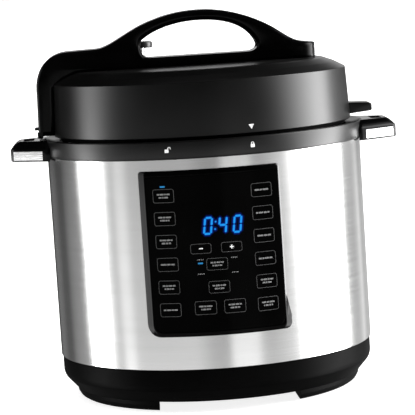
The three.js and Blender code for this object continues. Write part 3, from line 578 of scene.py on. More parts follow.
def base_bottom():
    low, high = heights("bottom_cover")
    slots = [oblong(-34, 34, y - 1.5, y + 1.5, 1.45) for y in range(-27, 28, 9)]
    places = [polar(92, azimuth) for azimuth in (30, 120, -150, -60)]
    holes = [circle(2, 16, p.x, p.y) for p in places]
    plate = slab([circle(98, SMOOTH), *slots, *holes], low, high, 0.4)
    finished("bottom_plate", plate, MATTE, "bottom_cover")
    for i, place in enumerate(places):
        head_low, head_high = heights(f"base_screw_{i + 1}")
        head = screw(head_low, head_high, 2.4, 1.2, 1)
        star = [oblong(-1.7, 1.7, -0.35, 0.35, 0.1), oblong(-0.35, 0.35, -1.7, 1.7, 0.1)]
        cross = joined(*[slab([bar], head_low - 1, head_low + 1.3) for bar in star])
        head = moved(carved(head, cross), place.x, place.y)
        finished(f"base_screw_{i + 1}.head", head, POLISHED, f"base_screw_{i + 1}")


# Body

def steel_wrap():
    """The steel drum, open where the power inlet passes through."""
    low, high = steel_low.z, steel_high.z
    gap_low, gap_high = inlet_low.z + 6, inlet_high.z - 6
    outside = [(STEEL_R - 0.2, low, 0.2), (STEEL_R, low + 0.4, 0.3), (STEEL_R, gap_low), (STEEL_R, gap_high)]
    inside = [(STEEL_R - 1, gap_high), (STEEL_R - 1, gap_low), (STEEL_R - 1, low)]
    drum = turned([*outside, (STEEL_R, high), (STEEL_R - 1, high), *inside], FINEST)
    middle = (gap_low + gap_high) / 2
    for face in drum.faces[:]:
        centre = face.calc_center_median()
        behind = centre.y > 0 and abs(centre.x) < 22
        if behind and abs(centre.z - middle) < (gap_high - gap_low) / 2:
            drum.faces.remove(face)
    finished("steel_wrap", drum, BRUSHED, "steel_housing")
    seam = on_drum(slab([oblong(-5, 5, low + 1, high, 0.3)], 0.0, 0.35, 0.12), STEEL_R)
    finished("steel_seam", moved(seam, turn=148), BRUSHED)


def rim_band():
    low, high = band_low.z + 7.3, band_high.z
    ledge = liner_high.z - 1.5
    body = turned([
        (127, ledge - 2.5), (135.5, ledge - 2.5), (135.5, high - 5, 0.5), (141.1, high - 4),
        (141.1, low - 7), (143.6, low - 7), (143.6, low), (BAND_R - 0.9, low), (BAND_R - 0.9, low + 0.8),
        (BAND_R, low + 1.1, 0.3), (BAND_R, high - 0.2, 1.1), (145, high, 0.5), (133, high - 2.6, 0.8),
        (133, ledge, 0.6), (127, ledge)], FINEST)
    finished("rim_band", body, SATIN, "rim_collar")


SIDE_ROOT_X = 143  # where the side handle starts to narrow
SIDE_ROOT_Y = 42
SIDE_CORNER = 3
FINGER_X = 151
TRIM_ROOT_X = 148  # ends of the silver trim, which leaves the tip of the handle black
TRIM_TIP_X = side_high.x - 2.6


def side_half(x, inset):
    """Half the side handle's width at x, its plan drawn in by an inset."""
    slope = (SIDE_ROOT_Y / 2) / (side_high.x - SIDE_CORNER - SIDE_ROOT_X)
    return SIDE_ROOT_Y - inset * 1.2 - slope * (x - SIDE_ROOT_X)


def mirrored(half):
    """A whole outline from the corners of its +Y half."""
    return half + [(x, -y, *rest) for x, y, *rest in reversed(half)]


def side_outline(inset, root_x=138.0):
    """The side handle in plan, drawn in by an inset."""
    tip = side_high.x - inset
    shoulder = side_half(tip - SIDE_CORNER, inset)
    root = side_half(SIDE_ROOT_X, inset)
    corners = [(tip - SIDE_CORNER, shoulder, 5), (tip, shoulder - SIDE_CORNER, 3)]
    return rounded(mirrored([(root_x, root), (SIDE_ROOT_X, root, 8), *corners]), 5)


def finger_outline():
    """The pocket for the fingers under the side handle."""
    tip = side_high.x - 7
    shoulder = side_half(tip - SIDE_CORNER, 7)
    corners = [(tip - SIDE_CORNER, shoulder, 4), (tip, shoulder - SIDE_CORNER, 2)]
    return rounded(mirrored([(FINGER_X, side_half(FINGER_X, 7), 3), *corners]), 4)


def trim_length(form, gap):
    """The stretch of a form that the silver trim takes up, less a gap at both ends."""
    root = block((120, -60, 200), (TRIM_ROOT_X + gap, 60, 250))
    tip = block((TRIM_TIP_X - gap, -60, 200), (190, 60, 250))
    return carved(form, root, tip)


def side_handles():
    low, high = side_low.z, side_high.z
    profile = [
        (1.4, low), (0.4, low + 0.4), (0, low + 1.4), (0, low + 10.6), (0.3, low + 11.5), (1.3, low + 12.7),
        (2.7, low + 14.2), (4.4, low + 15.9), (6.2, low + 17.3), (8.3, low + 18.2), (11, high)]
    for name, turn in (("right", 0), ("left", 180)):
        shell = skin([[Vector((*p, z)) for p in side_outline(inset)] for inset, z in profile])
        recess = slab([side_outline(-2), side_outline(1.5, 140)], trim_low.z - 0.35, trim_high.z + 0.35)
        recess = trim_length(recess, 0)
        fingers = slab([finger_outline()], low - 5, low + 11, 0.8)
        slot = slab([oblong(156, 166, -15, 15, 2.5)], low + 2, high + 5)
        band_space = post(BAND_R + 0.2, low - 9, high + 9, segments=SMOOTH)
        body = carved(shell, recess, fingers, slot, band_space)
        finished(f"side_grip_{name}", moved(body, turn=turn), GLOSS, f"side_handle_{name}", bevel=0.35)
        strip = slab([side_outline(0.15), side_outline(1.5, 139)], trim_low.z, trim_high.z, 0.35)
        strip = trim_length(strip, 0.3)
        finished(f"side_trim_{name}", moved(strip, turn=turn), SILVER, f"handle_trim_{name}")


# Marks on the band and the lid: plain padlocks and a pointer

def mark_on(name, outlines, radius, azimuth, height, body):
    form = joined(*[slab(group, 0.02, 0.14, 0.03) for group in outlines])
    form = on_drum(moved(form, y=height), radius, 1.0)
    finished(name, moved(form, turn=azimuth), MARK, body=body, slot="satin_black")


LOCK_SCALE = 0.85


def padlock(shackle_shift, shackle_rise):
    """Groups of outlines for a plain padlock, its shackle moved aside and up when open."""
    case = [oblong(-2.1, 2.1, -3, 0.5, 0.5)]
    top = 1.2 + shackle_rise
    outer = [(-1.55, 0.2), (-1.55, top + 1.5, 1.4), (1.55, top + 1.5, 1.4), (1.55, 0.3 + shackle_rise)]
    inner = [(0.9, 0.3 + shackle_rise), (0.9, top + 0.85, 0.8), (-0.9, top + 0.85, 0.8), (-0.9, 0.2)]
    hoop = rounded([(x + shackle_shift, *rest) for x, *rest in outer + inner])
    return [[[corner * LOCK_SCALE for corner in outline] for outline in group] for group in (case, [hoop])]


def marks():
    height = (band_low.z + 7.3 + band_high.z) / 2 + 0.7
    mark_on("padlock_closed", padlock(0, 0), BAND_R, 14.8, height, "base")
    mark_on("padlock_open", padlock(2.7, 0.2), BAND_R, -14.6, height, "base")
    pointer = rounded([(0, -2.2, 0.2), (2.6, 2, 0.3), (-2.6, 2, 0.3)])
    mark_on("lid_pointer", [[pointer]], LID_R - 0.3, 16.1, lid_low.z + 6, "lid")


# Control panel

def along(radius, chord):
    """Length round the drum of a half width that is measured straight across."""
    return radius * math.asin(chord / radius)


BEZEL_NIP = 3.9  # the bezel's right-hand side is steeper above its bottom corner


def bezel():
    depth = -bezel_low.y - STEEL_R  # how far the bezel stands out from the steel
    foot = along(STEEL_R, bezel_high.x)
    face = foot - 6.6
    inner = along(PANEL_R, overlay_high.x) * STEEL_R / PANEL_R + 0.2
    low, high = bezel_low.z, bezel_high.z
    sill = overlay_low.z - low - 0.2
    steps = [
        (foot, 0, 12, 2.5, 0.05), (foot, 0, 12, 2.5, 0.7), (face + 1.2, 0.5, 11, 2.3, depth - 0.7),
        (face + 0.4, 0.9, 10.5, 2.2, depth - 0.2), (face - 0.5, 1.5, 10, 2, depth),
        (inner + 0.3, sill - 0.3, 8.4, 2, depth), (inner, sill, 8.2, 2, depth - 0.4),
        (inner, sill, 8.2, 2, depth - 1.5)]
    rings = []
    for half, inset, low_radius, high_radius, out in steps:
        nip = max(0.05, BEZEL_NIP * (half - face) / (foot - face))
        bottom, top = low + inset, high - inset
        outline = rounded([
            (-half, bottom, low_radius), (half, bottom, low_radius), (half, low + 12, 6),
            (half - nip, low + 30, 12), (half - nip, top, high_radius), (-half, top, high_radius)], 6)
        rings.append([Vector((p.x, p.y, out)) for p in outline])
    frame_form = on_drum(skin(rings), STEEL_R)
    finished("panel_bezel", frame_form, BEZEL, "control_bezel", slot="gloss_black", crease=40)


def overlay():
    half, low, high = along(PANEL_R, overlay_high.x), overlay_low.z, overlay_high.z
    outline = rounded([(-half, low, 8), (half, low, 8), (half, high, 2), (-half, high, 2)], 6)
    sheet = on_drum(slab([outline], -1.2, 0, 0.25), PANEL_R)
    finished("panel_overlay", sheet, OVERLAY, "control_overlay", slot="gloss_black")


KEY_WIDTH = 19.0
KEY_HEIGHT = 12.0
COLUMN_U = 43.2
KEY_PITCH = 20.0
TOP_KEY_Z = 194.6


def key_list():
    """(name, middle u, middle z, width, height, label rows) of every key."""
    keys = []
    label_rows = {"left": (2, 2, 2, 1, 2, 1), "right": (1, 1, 1, 1, 2, 2)}
    for side, u in (("left", -COLUMN_U), ("right", COLUMN_U)):
        for i, rows in enumerate(label_rows[side]):
            keys.append((f"key_{side}_{i + 1}", u, TOP_KEY_Z - i * KEY_PITCH, KEY_WIDTH, KEY_HEIGHT, rows))
    keys.append(("key_minus", -13.2, 147.3, 18.2, 8.8, 0))
    keys.append(("key_plus", 13.6, 147.3, 18.2, 8.8, 0))
    keys.append(("key_pressure", 0.1, 133.2, 18.6, 10.6, 2))
    keys.append(("key_temperature", 0.7, 113.0, 18.6, 10.6, 2))
    keys.append(("key_start", -12.2, 95.4, KEY_WIDTH, KEY_HEIGHT, 2))
    keys.append(("key_delay", 13.4, 95.4, KEY_WIDTH, KEY_HEIGHT, 2))
    return keys


def dashes(u, z, width, height, seed):
    """A row of short bars that stands for a printed label without spelling anything."""
    shares = [(3, 5, 2, 4), (4, 2, 5), (2, 4, 3, 2), (5, 3, 3), (3, 2, 4, 3)][seed % 5]
    gap = 0.5
    unit = (width - gap * (len(shares) - 1)) / sum(shares)
    bars, start = [], u - width / 2
    for share in shares:
        bars.append(oblong(start, start + unit * share, z - height / 2, z + height / 2, 0.3, 2))
        start += unit * share + gap
    return bars


def keys():
    outlines, labels = [], []
    for i, (name, u, z, width, height, rows) in enumerate(key_list()):
        left, right, low, high = u - width / 2, u + width / 2, z - height / 2, z + height / 2
        cap = slab([oblong(left, right, low, high, 1.8)], -0.2, 0.32, 0.14)
        finished(name, on_drum(cap, PANEL_R), OVERLAY, slot="gloss_black")
        line = 0.42
        inside = oblong(left + line, right - line, low + line, high - line, 1.5)
        outlines.append(slab([oblong(left, right, low, high, 1.9), inside], 0.3, 0.38))
        for row in range(rows):
            row_z = z + (rows - 1) * 1.35 - row * 2.7
            length = (11.5, 8.4)[row] if rows == 2 else 12.5
            labels += [slab([bar], 0.3, 0.37) for bar in dashes(u, row_z, length, 1.35, i + row)]
    for u, z in ((-14.3, 137.6), (-14.3, 125.1), (15.2, 137.9), (15.2, 125.0)):
        labels += [slab([bar], 0.0, 0.07) for bar in dashes(u, z, 5.6, 0.9, int(z))]
    minus = oblong(-14.8, -11.4, 146.9, 147.8, 0.2, 2)
    plus_bars = [oblong(12.0, 15.4, 146.9, 147.8, 0.2, 2), oblong(13.25, 14.15, 145.6, 149.1, 0.2, 2)]
    signs = [slab([bar], 0.3, 0.4) for bar in (minus, *plus_bars)]
    finished("key_outlines", on_drum(joined(*outlines), PANEL_R), OUTLINE, slot="gloss_black")
    finished("key_labels", on_drum(joined(*labels), PANEL_R), LABEL, slot="gloss_black")
    finished("key_signs", on_drum(joined(*signs), PANEL_R), MARK, slot="gloss_black")


DIGIT_WIDTH = 7.7
DIGIT_HEIGHT = 15.6
DIGIT_LOW = 159.0
STROKE = 1.7
SLANT = 0.13
SEGMENTS = {"0": "abcdef", "4": "bcfg"}


def segment(letter, grow=0.0):
    """One bar of a seven-segment digit, with pointed ends."""
    half = STROKE / 2 + grow
    w, h, middle = DIGIT_WIDTH - STROKE, DIGIT_HEIGHT - STROKE, (DIGIT_HEIGHT - STROKE) / 2
    ends = {
        "a": ((0, h), (w, h)), "g": ((0, middle), (w, middle)), "d": ((0, 0), (w, 0)),
        "f": ((0, middle), (0, h)), "e": ((0, 0), (0, middle)),
        "b": ((w, middle), (w, h)), "c": ((w, 0), (w, middle))}
    start, end = (Vector(p) for p in ends[letter])
    ahead = (end - start).normalized()
    aside = Vector((-ahead.y, ahead.x)) * half
    start, end = start + ahead * (0.3 - grow), end - ahead * (0.3 - grow)
    inner, outer = start + ahead * half * 0.8, end - ahead * half * 0.8
    return [start, inner - aside, outer - aside, end, outer + aside, inner + aside]


def display():
    window = slab([oblong(-27.6, 29.0, 156.2, 187.2, 1.2)], -0.3, 0.06, 0.05)
    finished("display_window", on_drum(window, PANEL_R), OVERLAY, "display_module", slot="display")
    base = Vector((STROKE / 2, STROKE / 2 + DIGIT_LOW))
    # Besides the digits themselves, the glow and haze layers are painted glow: grown copies of the segments
    # that give off light round them.
    layers = (("digits", BLUE, 0.0, 0.12), ("glow", PAINTED_HALO, 0.6, 0.09), ("haze", PAINTED_HAZE, 1.7, 0.06))
    for name, material, grow, low in layers:
        bars = []
        for digit, u in (("0", -10.5), ("4", 2.3), ("0", 15.2)):
            for letter in SEGMENTS[digit]:
                bar = [base + Vector((p.x + u + p.y * SLANT, p.y)) for p in segment(letter, grow)]
                bars.append(slab([bar], low, low + 0.02))
        for z in (DIGIT_LOW + 4.6, DIGIT_LOW + 11):
            bars.append(slab([circle(0.7 + grow, 12, -0.4 + (z - DIGIT_LOW) * SLANT, z)], low, low + 0.02))
        finished(f"display_{name}", on_drum(joined(*bars), PANEL_R, 2.0), material, slot="display")
    for i, (u, z) in enumerate(((-43.6, 202.6), (-14.4, 134.5))):
        lamp = slab([oblong(-2.2, 2.2, z - 0.65, z + 0.65, 0.4)], 0.05, 0.2)
        lamp = moved(on_drum(lamp, PANEL_R, 1.0), turn=math.degrees(u / PANEL_R))
        finished(f"indicator_{i + 1}", lamp, LED_BLUE, slot="display")


# Lid

LUG_AZIMUTHS = range(0, 360, 60)


def lid_shell():
    low, top = lid_low.z, lid_high.z
    shoulder = 290.9
    body = turned([
        (LID_R - 0.6, low, 0.3), (LID_R, low + 0.8, 0.5), (135.3, shoulder, 0.7),
        (133.4, shoulder + 1.2, 0.6), (125.6, 296.4, 18), (116, 300.3, 10), (112, top, 4), (0, top),
        (0, top - 3), (111, top - 3), (123.4, 293), (132.4, 287.5), (LID_R - 3, low)], FINEST, steps=6)
    holes = [post(5, top - 12, top + 4, VALVE_X, VALVE_Y), post(4.4, top - 12, top + 4, FLOAT_X, FLOAT_Y)]
    finished("lid_shell", carved(body, *holes), SATIN, "lid_cover", "lid")
    tip = lid_high.x
    wing = rounded([
        (133.5, 246), (tip - 1, 248.1, 1.2), (tip, 249.2, 1), (tip - 0.3, 254.4, 1.2),
        (tip - 2.2, 255.6, 1.5), (133.5, 256.7)])
    finished("lid_wing", from_front(slab([wing], -13, 13, 1.1)), SATIN, body="lid")


def handle_forms():
    """The lid handle's outline and its opening, seen from the front."""
    arm, end, top = grip_low.x + 3.7, grip_high.x, grip_high.z
    over = bezier(
        (101, 315.5), (83.4, 317.2), (79.1, 327.9), (58.3, 337.7), (42.1, 345.8), (22, top), (3, top),
        (-12, top), (-27.1, 349), (-39.9, 344.4), (-62.5, 338), (-79.6, 321.9), (-93, 321.1))
    shoulder = bezier((-117, 320.5), (-139.4, 321.2), (arm - 0.6, 305.5), (arm + 0.9, 282))
    lid_side = rounded([
        (arm, 246), (arm + 0.2, grip_low.z, 0.2), (arm + 3.4, grip_low.z, 0.4), (arm + 3.4, 244.4),
        (-135.6, 244.4), (-134, 287), (-124, 294.2), (-112, 299), (end - 2, 299), (end, 300),
        (end, 315.2, 1.2)])
    outline = lid_side + over + shoulder
    opening = bezier(
        (44.5, 310), (54.5, 310), (57, 314.5), (52, 322), (44, 334.5), (26, 341.8), (1, 341.6), (-20, 341.7),
        (-40, 335.3), (-51, 326.6), (-54, 322.5), (-53, 310.8), (-46, 310.1))
    return outline, opening


def lid_handle():
    half, end, corner = grip_high.y, grip_high.x, 15
    form = from_front(slab(handle_forms(), -half, half, 4.2))
    sliced(form, 0, [end - corner + i for i in range(corner)] + [end - 0.4])
    for vertex in form.verts:
        past = min(vertex.co.x - (end - corner), corner)
        if past > 0:
            inward = corner - math.sqrt(corner * corner - past * past)
            vertex.co.y *= (half - inward) / half
    bmesh.ops.recalc_face_normals(form, faces=form.faces)
    finished("lid_grip", form, GLOSS, "lid_handle", "lid", crease=50)
    tab = block((grip_low.x, -5, 249.5), (grip_low.x + 5, 5, 252), 0.5, "y")
    finished("arm_tab", tab, SATIN, body="lid", slot="gloss_black")
    for i in (1, 2):
        low, high = box_of(f"handle_screw_{i}")
        head = moved(screw(low.z, high.z, 2.6, 1, 0.6), (low.x + high.x) / 2)
        finished(f"grip_screw_{i}", head, POLISHED, f"handle_screw_{i}", "lid")


def steam_valve():
    low, high = valve_low.z, valve_high.z
    stem = turned([
        (4.5, low), (5.7, low, 0.3), (5.7, low + 3, 0.2), (5.2, low + 3.5, 0.2), (5.2, low + 12, 0.3),
        (5.7, low + 12.6, 0.3), (5.7, high - 5.2), (4.5, high - 5.2)], MEDIUM)
    cap = turned([
        (0, high - 6.4), (5.6, high - 5.8), (12.4, high - 5.8, 0.4), (13, high - 5.2, 0.4),
        (13, high - 0.8, 0.8), (11.6, high, 0.5), (8.4, high, 0.3), (8, high - 0.5, 0.3),
        (3, high - 0.5, 0.3), (2.6, high, 0.3), (0, high)],
        MEDIUM)
    lever = slab([rounded([(-3, 8), (3, 8), (3, 27, 2.4), (-3, 27, 2.4)])], high - 5.2, high - 1, 0.8)
    finished("valve_stem", moved(stem, VALVE_X, VALVE_Y), POLISHED, "steam_valve", "valve")
    finished("valve_cap", moved(cap, VALVE_X, VALVE_Y), SATIN, body="valve")
    finished("valve_lever", moved(lever, VALVE_X, VALVE_Y), SATIN, body="valve")


def float_valve():
    low, high = float_low.z, float_high.z
    pin = turned([
        (0, low), (5, low, 0.4), (6, low + 0.8, 0.3), (6, low + 2.8, 0.4), (3.3, low + 2.8, 0.4),
        (3.3, high - 1, 0.3), (2.5, high, 0.4), (0, high)], SMALL)
    finished("float_pin", moved(pin, FLOAT_X, FLOAT_Y), SILVER, "float_valve", "float")
    low, high = heights("float_seal")
    seal = turned([(0, low), (5.6, low, 0.4), (6.6, low + 1, 0.5), (6.6, high, 0.4), (0, high)], SMALL)
    finished("float_gasket", moved(seal, FLOAT_X, FLOAT_Y), SILICONE, "float_seal", "float")


def inner_lid():
    low, top = heights("inner_lid")
    wall = 1.2
    pan = turned([
        (0, top - wall), (107, top - wall, 6), (116, 251, 4), (117.2, 248, 2), (117.2, low),
        (118.4, low, 0.3), (118.4, 248.4, 3), (117, 252, 4), (107.6, top, 6), (70, top, 1),
        (69, top + 0.4, 0.6), (60, top + 0.4, 0.6), (59, top, 1), (0, top)])
    holes = [
        post(4.6, 240, 262, VALVE_X, VALVE_Y), post(3.9, 240, 262, FLOAT_X, FLOAT_Y), post(3.3, 240, 262)]
    finished("inner_lid_pan", carved(pan, *holes), POLISHED, "inner_lid", "lid")
    for i, azimuth in enumerate(LUG_AZIMUTHS):
        tab = turned([(117.6, low), (123.3, low, 0.8), (123.3, low + 2.6, 0.8), (117.6, low + 2.6)],
                     12, azimuth - 12, azimuth + 12)
        finished(f"inner_lid_tab_{i + 1}", tab, POLISHED, body="lid", bevel=0.5)


def underside():
    ring = turned([(120.5, 247, 0.5), (132.6, 247, 0.5), (132.6, 249.4, 0.5), (120.5, 249.4, 0.5)])
    finished("underside_ring", ring, MATTE, "lid_underside", "lid")
    # Painted shade: a dark matte ring hung down into the gap between the lid and the band, so that the gap
    # reads darker.
    low = band_high.z - 1.7
    gap_shade_ring = turned([(131.2, low, 0.3), (132.4, low, 0.3), (132.4, 247.4), (131.2, 247.4)])
    finished("lid_gap_shade_ring", gap_shade_ring, MATTE, body="lid")
    for i, start in enumerate((-99.5, -83.5)):
        prong = turned([(126, 238.6, 0.6), (130.6, 238.6, 0.6), (130.6, 247.5), (126, 247.5)],
                       6, start, start + 3)
        finished(f"slider_prong_{i + 1}", prong, MATTE, body="lid", bevel=0.4)


def gasket_and_rack():
    seal = turned([
        (107.4, 220.6, 0.5), (109.4, 220.2, 1), (114.6, 220.2, 1.2), (116.6, 221.8, 1), (116.6, 229.4, 0.5),
        (113.8, 229.4, 0.5), (112.6, 224.6, 2), (107.4, 223.2, 0.6)])
    finished("lid_gasket", seal, SILICONE, "sealing_ring", "lid")
    hoop = turned([
        (109.2, 226, 0.4), (110.6, 225.2, 0.5), (111.4, 226.4, 0.4), (111.4, 229, 0.5), (109.2, 229, 0.5)])
    posts = []
    for azimuth in (0, 120, 240):
        stick = turned([(0, 227), (1.4, 227), (1.4, 253.4, 0.4), (0, 253.4)], TINY)
        posts.append(moved(stick, *polar(109.2, azimuth).to_2d()))
    finished("gasket_rack", joined(hoop, *posts), POLISHED, "sealing_rack", "lid")


def valve_shield():
    shield = turned([
        (4.4, 248.4), (13, 248.4, 0.6), (15, 246, 0.8), (15, 236, 1), (0, 236), (0, 234.6), (16.2, 234.6, 2),
        (16.2, 247, 1.5), (13.6, 249.8, 0.6), (4.4, 249.8)], MEDIUM)
    bars = [moved(block((-20, -1, 237.5), (20, 1, 244), 0.4), turn=a) for a in (0, 45, 90, 135)]
    shield = moved(carved(shield, *bars), VALVE_X, VALVE_Y)
    finished("anti_clog_cap", shield, POLISHED, "valve_shield", "lid")


# Inside the body

RIM_Z = pot_high.z - 2.4  # underside of the cooking pot's rim


def coil(radius, wire, low, high, turns, steps=28):
    """A round wire wound upwards round the axis."""
    rings = []
    for i in range(turns * steps + 1):
        azimuth = 360 * i / steps
        rise = low + wire + (high - low - 2 * wire) * i / (turns * steps)
        rings.append([polar(radius + p.x, azimuth, rise + p.y) for p in circle(wire, 10)])
    return skin(rings)


def cooking_pot():
    low, high = pot_low.z, pot_high.z
    pot = turned([
        (0, low), (102, low, 5), (108.8, low + 3, 3), (111.3, low + 9, 4), (111.3, RIM_Z, 1),
        (117.6, RIM_Z, 0.8), (117.6, high, 1.1), (111, high, 1.5), (110, RIM_Z + 1, 1), (110, low + 9.4, 4),
        (107.8, low + 4.2, 3), (101.6, low + 1.3, 4), (0, low + 1.3)])
    finished("cooking_pot", pot, POT_STEEL, "inner_pot", "pot", slot="polished_steel")
    for i, z in enumerate((low + 52, low + 78, low + 104, low + 124)):
        line = turned([(109.75, z), (110.2, z), (110.2, z + 0.7), (109.75, z + 0.7)], 12, 62, 78)
        finished(f"fill_line_{i + 1}", line, LABEL, body="pot", slot="polished_steel")


def liner():
    low, top, wall = liner_low.z, liner_high.z, 1.2
    seat = RIM_Z - 1.4
    shell = turned([
        (9, low), (109, low, 2), (114.2, low + 5, 3), (114.2, seat - wall, 1), (126.2, seat - wall, 1),
        (126.2, top - wall, 0.5), (131.5, top - wall), (131.5, top, 0.5), (125, top, 0.8), (125, seat, 0.8),
        (113, seat, 0.8), (113, low + 5.4, 3), (108.6, low + wall, 2), (9, low + wall)])
    finished("liner", shell, CAST, "outer_pot")
    for i, azimuth in enumerate(LUG_AZIMUTHS):
        lug = turned([(119.6, top - 3.4, 0.6), (125.4, top - 3.4), (125.4, top), (119.6, top, 0.8)],
                     12, azimuth - 13, azimuth + 13)
        finished(f"liner_lug_{i + 1}", lug, CAST, bevel=0.5)


def hot_plate():
    low, top = liner_low.z, heights("heating_plate")[1]
    under, edge = top - 8.9, top - 0.3
    plate = turned([
        (19, under + 1), (40, under, 1), (88, under, 2), (94, under + 3, 1), (94, top - 1.3, 1),
        (90, edge, 1), (60, top, 4), (42, top, 0.4), (41.4, edge, 0.3), (40.6, edge, 0.3), (40, top, 0.4),
        (19, top, 1)])
    legs = [post(4, low + 1.5, top - 7, *polar(80, a).to_2d(), TINY) for a in (90, -30, -150)]
    pins = [post(3, top - 33, top - 8, x, 0, TINY) for x in (-56, 56)]
    finished("hot_plate", joined(plate, *legs, *pins), CAST, "heating_plate")


def temperature_sensor():
    low, high = heights("temperature_sensor")
    probe = turned([
        (0, low), (5.6, low, 0.6), (5.6, high - 4.4, 0.6), (15.5, high - 4.4, 0.5), (16.5, high - 3.4, 0.5),
        (16.5, high - 0.8, 0.6), (15.4, high, 0.8), (0, high)], MEDIUM)
    finished("sensor_button", probe, POLISHED, "temperature_sensor", "sensor")
    low, high = heights("sensor_spring")
    spring = finished("sensor_coil", coil(9.5, 0.7, low, high, 4), POLISHED, "sensor_spring")
    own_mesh(spring)


# Back

def power_inlet():
    low, high = inlet_low, inlet_high
    middle = (low.z + high.z) / 2
    well = oblong(-13, 13, low.z + 10.5, high.z - 10.5, 3)
    flange = slab([oblong(low.x, high.x, low.z, high.z, 5), well], 0.3, high.y - STEEL_R, 1.1)
    flange = moved(on_drum(flange, STEEL_R), turn=180)
    body = from_front(slab([oblong(-22, 22, low.z + 6, high.z - 6, 1.5), well], 122, 146.5, 0.6))
    finished("inlet_housing", joined(flange, body), SATIN, "power_inlet", slot="matte_black")
    back = block((-13.5, 124, low.z + 10), (13.5, 128.2, high.z - 10), 0.4, "y")
    finished("inlet_back", back, MATTE)
    for i, (x, z) in enumerate(((-7, middle - 3), (0, middle + 1), (7, middle - 3))):
        blade = block((x - 1, 126, z - 2), (x + 1, 142, z + 2), 0.4, "y")
        finished(f"inlet_blade_{i + 1}", blade, POLISHED)


SHELF_Z = 217  # the rails' shelves, on which the cup's lips slide
CUP_WALL = 1.8


def side_block(side, low, high, edge):
    """A block whose corners are given for the right-hand side, on that side (1) or the other (-1)."""
    x_low, x_high = sorted((side * low[0], side * high[0]))
    return block((x_low, *low[1:]), (x_high, *high[1:]), edge, "y")


def cup_rails():
    half, top, back_y = rails_high.x, rails_high.z, rails_high.y
    sides = []
    for side in (-1, 1):
        sides.append(side_block(side, (30, 148, SHELF_Z - 2.5), (half, back_y, SHELF_Z), 0.5))
        sides.append(side_block(side, (half - 1.9, 148, SHELF_Z - 2.5), (half, back_y, top), 0.5))
    plate = on_drum(slab([oblong(-half - 0.8, half + 0.8, SHELF_Z - 12, top, 1.5)], 0.3, 4.4, 0.6), STEEL_R)
    holder = joined(moved(plate, turn=180), *sides)
    finished("cup_holder", holder, SATIN, "cup_rails", slot="matte_black")


def condensation_cup():
    low, high = cup_low, cup_high
    width = high.x - 4

    def plan(inset, near_corner, far_corner):
        x, near, far = width - inset, low.y + inset, high.y - inset
        return rounded([
            (-x, near, near_corner), (x, near, near_corner), (x, far, far_corner), (-x, far, far_corner)], 6)

    outside = slab([plan(0, 3, 9)], low.z, high.z, 1.2)
    inside = slab([plan(CUP_WALL, 2, 7.4)], low.z + CUP_WALL, high.z + 8, 1.2)
    finished("drip_cup", carved(outside, inside), CLEAR, "condensation_cup", "cup")
    for name, side in (("left", -1), ("right", 1)):
        lip = side_block(side, (width - 0.5, low.y + 1, SHELF_Z + 0.3), (high.x, high.y - 8, high.z), 0.4)
        finished(f"drip_cup_lip_{name}", lip, CLEAR, body="cup")


def paint_frame():
    """Finishes for the CAD nodes that stay as they are."""
    finishes = {
        "power_board": CIRCUIT, "control_board": CIRCUIT, "pressure_switch": INSULATOR,
        "thermal_fuse": INSULATOR, "heat_shield": CAST, "sensor_seat": POLISHED, "lock_slider": MATTE,
        "exhaust_pipe": POLISHED, "pipe_nut": POLISHED, "lid_stud": POLISHED, "stud_nut": POLISHED}
    for name, material in finishes.items():
        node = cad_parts[name]
        node.data.materials.clear()
        node.data.materials.append(material)


# Studio

def floor():
    form = bmesh.new()
    bmesh.ops.create_circle(form, cap_ends=True, segments=96, radius=60)
    ground = plain_object("floor", form)
    white = mottled("floor_white", grey(0.86), 0.7, (3, 3), (grey(0.85), grey(0.87)), (0.65, 0.75),
                    Specular_IOR_Level=0.1, Emission_Strength=0.85, Emission_Color=(1, 1, 1, 1))
    ground.data.materials.append(white)
    ground.visible_glossy = False


# Light round the studio, as (azimuth, brightness) with straight lines between: below the horizon, where
# the steel reflects the pale sweep, and above it, in the dark room with its two tall softboxes
SWEEP = (
    (-180, 0.02), (-168, 0.02), (-160, 0.24), (-150, 0.23), (-142, 0.14), (-133, 0.15), (-130, 0.29),
    (-122, 0.43), (-110, 0.48), (-105, 0.6), (-103, 11), (-96, 13), (-88, 9), (-84, 0.95), (-74, 1.05),
    (-71, 1.85), (-65, 1.85), (-61, 1.2), (-16, 1.24), (-3, 0.9), (7, 0.86), (11, 1.85), (29, 1.87),
    (33, 1.1), (40, 0.98), (50, 1.1), (56, 1.2), (63, 1.22), (66, 3.4), (84, 14), (100, 22), (110, 18),
    (112, 1.4), (118, 0.72), (130, 0.66), (136, 0.85), (142, 1.3), (150, 0.68), (162, 0.75), (172, 0.4),
    (180, 0.1))
ROOM = (
    (-180, 0.0), (-125, 0.01), (-110, 0.15), (-105, 5.5), (-96, 7), (-85, 3.8), (-77, 0.4), (-60, 0.2),
    (-40, 0.02), (0, 0.015), (36, 0.08), (56, 0.75), (66, 3.8), (84, 12), (100, 18), (111, 15), (116, 1.1),
    (150, 0.2), (180, 0))
BRIGHTEST = 22
BACKDROP = 1.2  # the pale wall behind, which only faces that point up reflect
CEILING = 0.16
FLOOR_GLOW = 0.4  # straight down


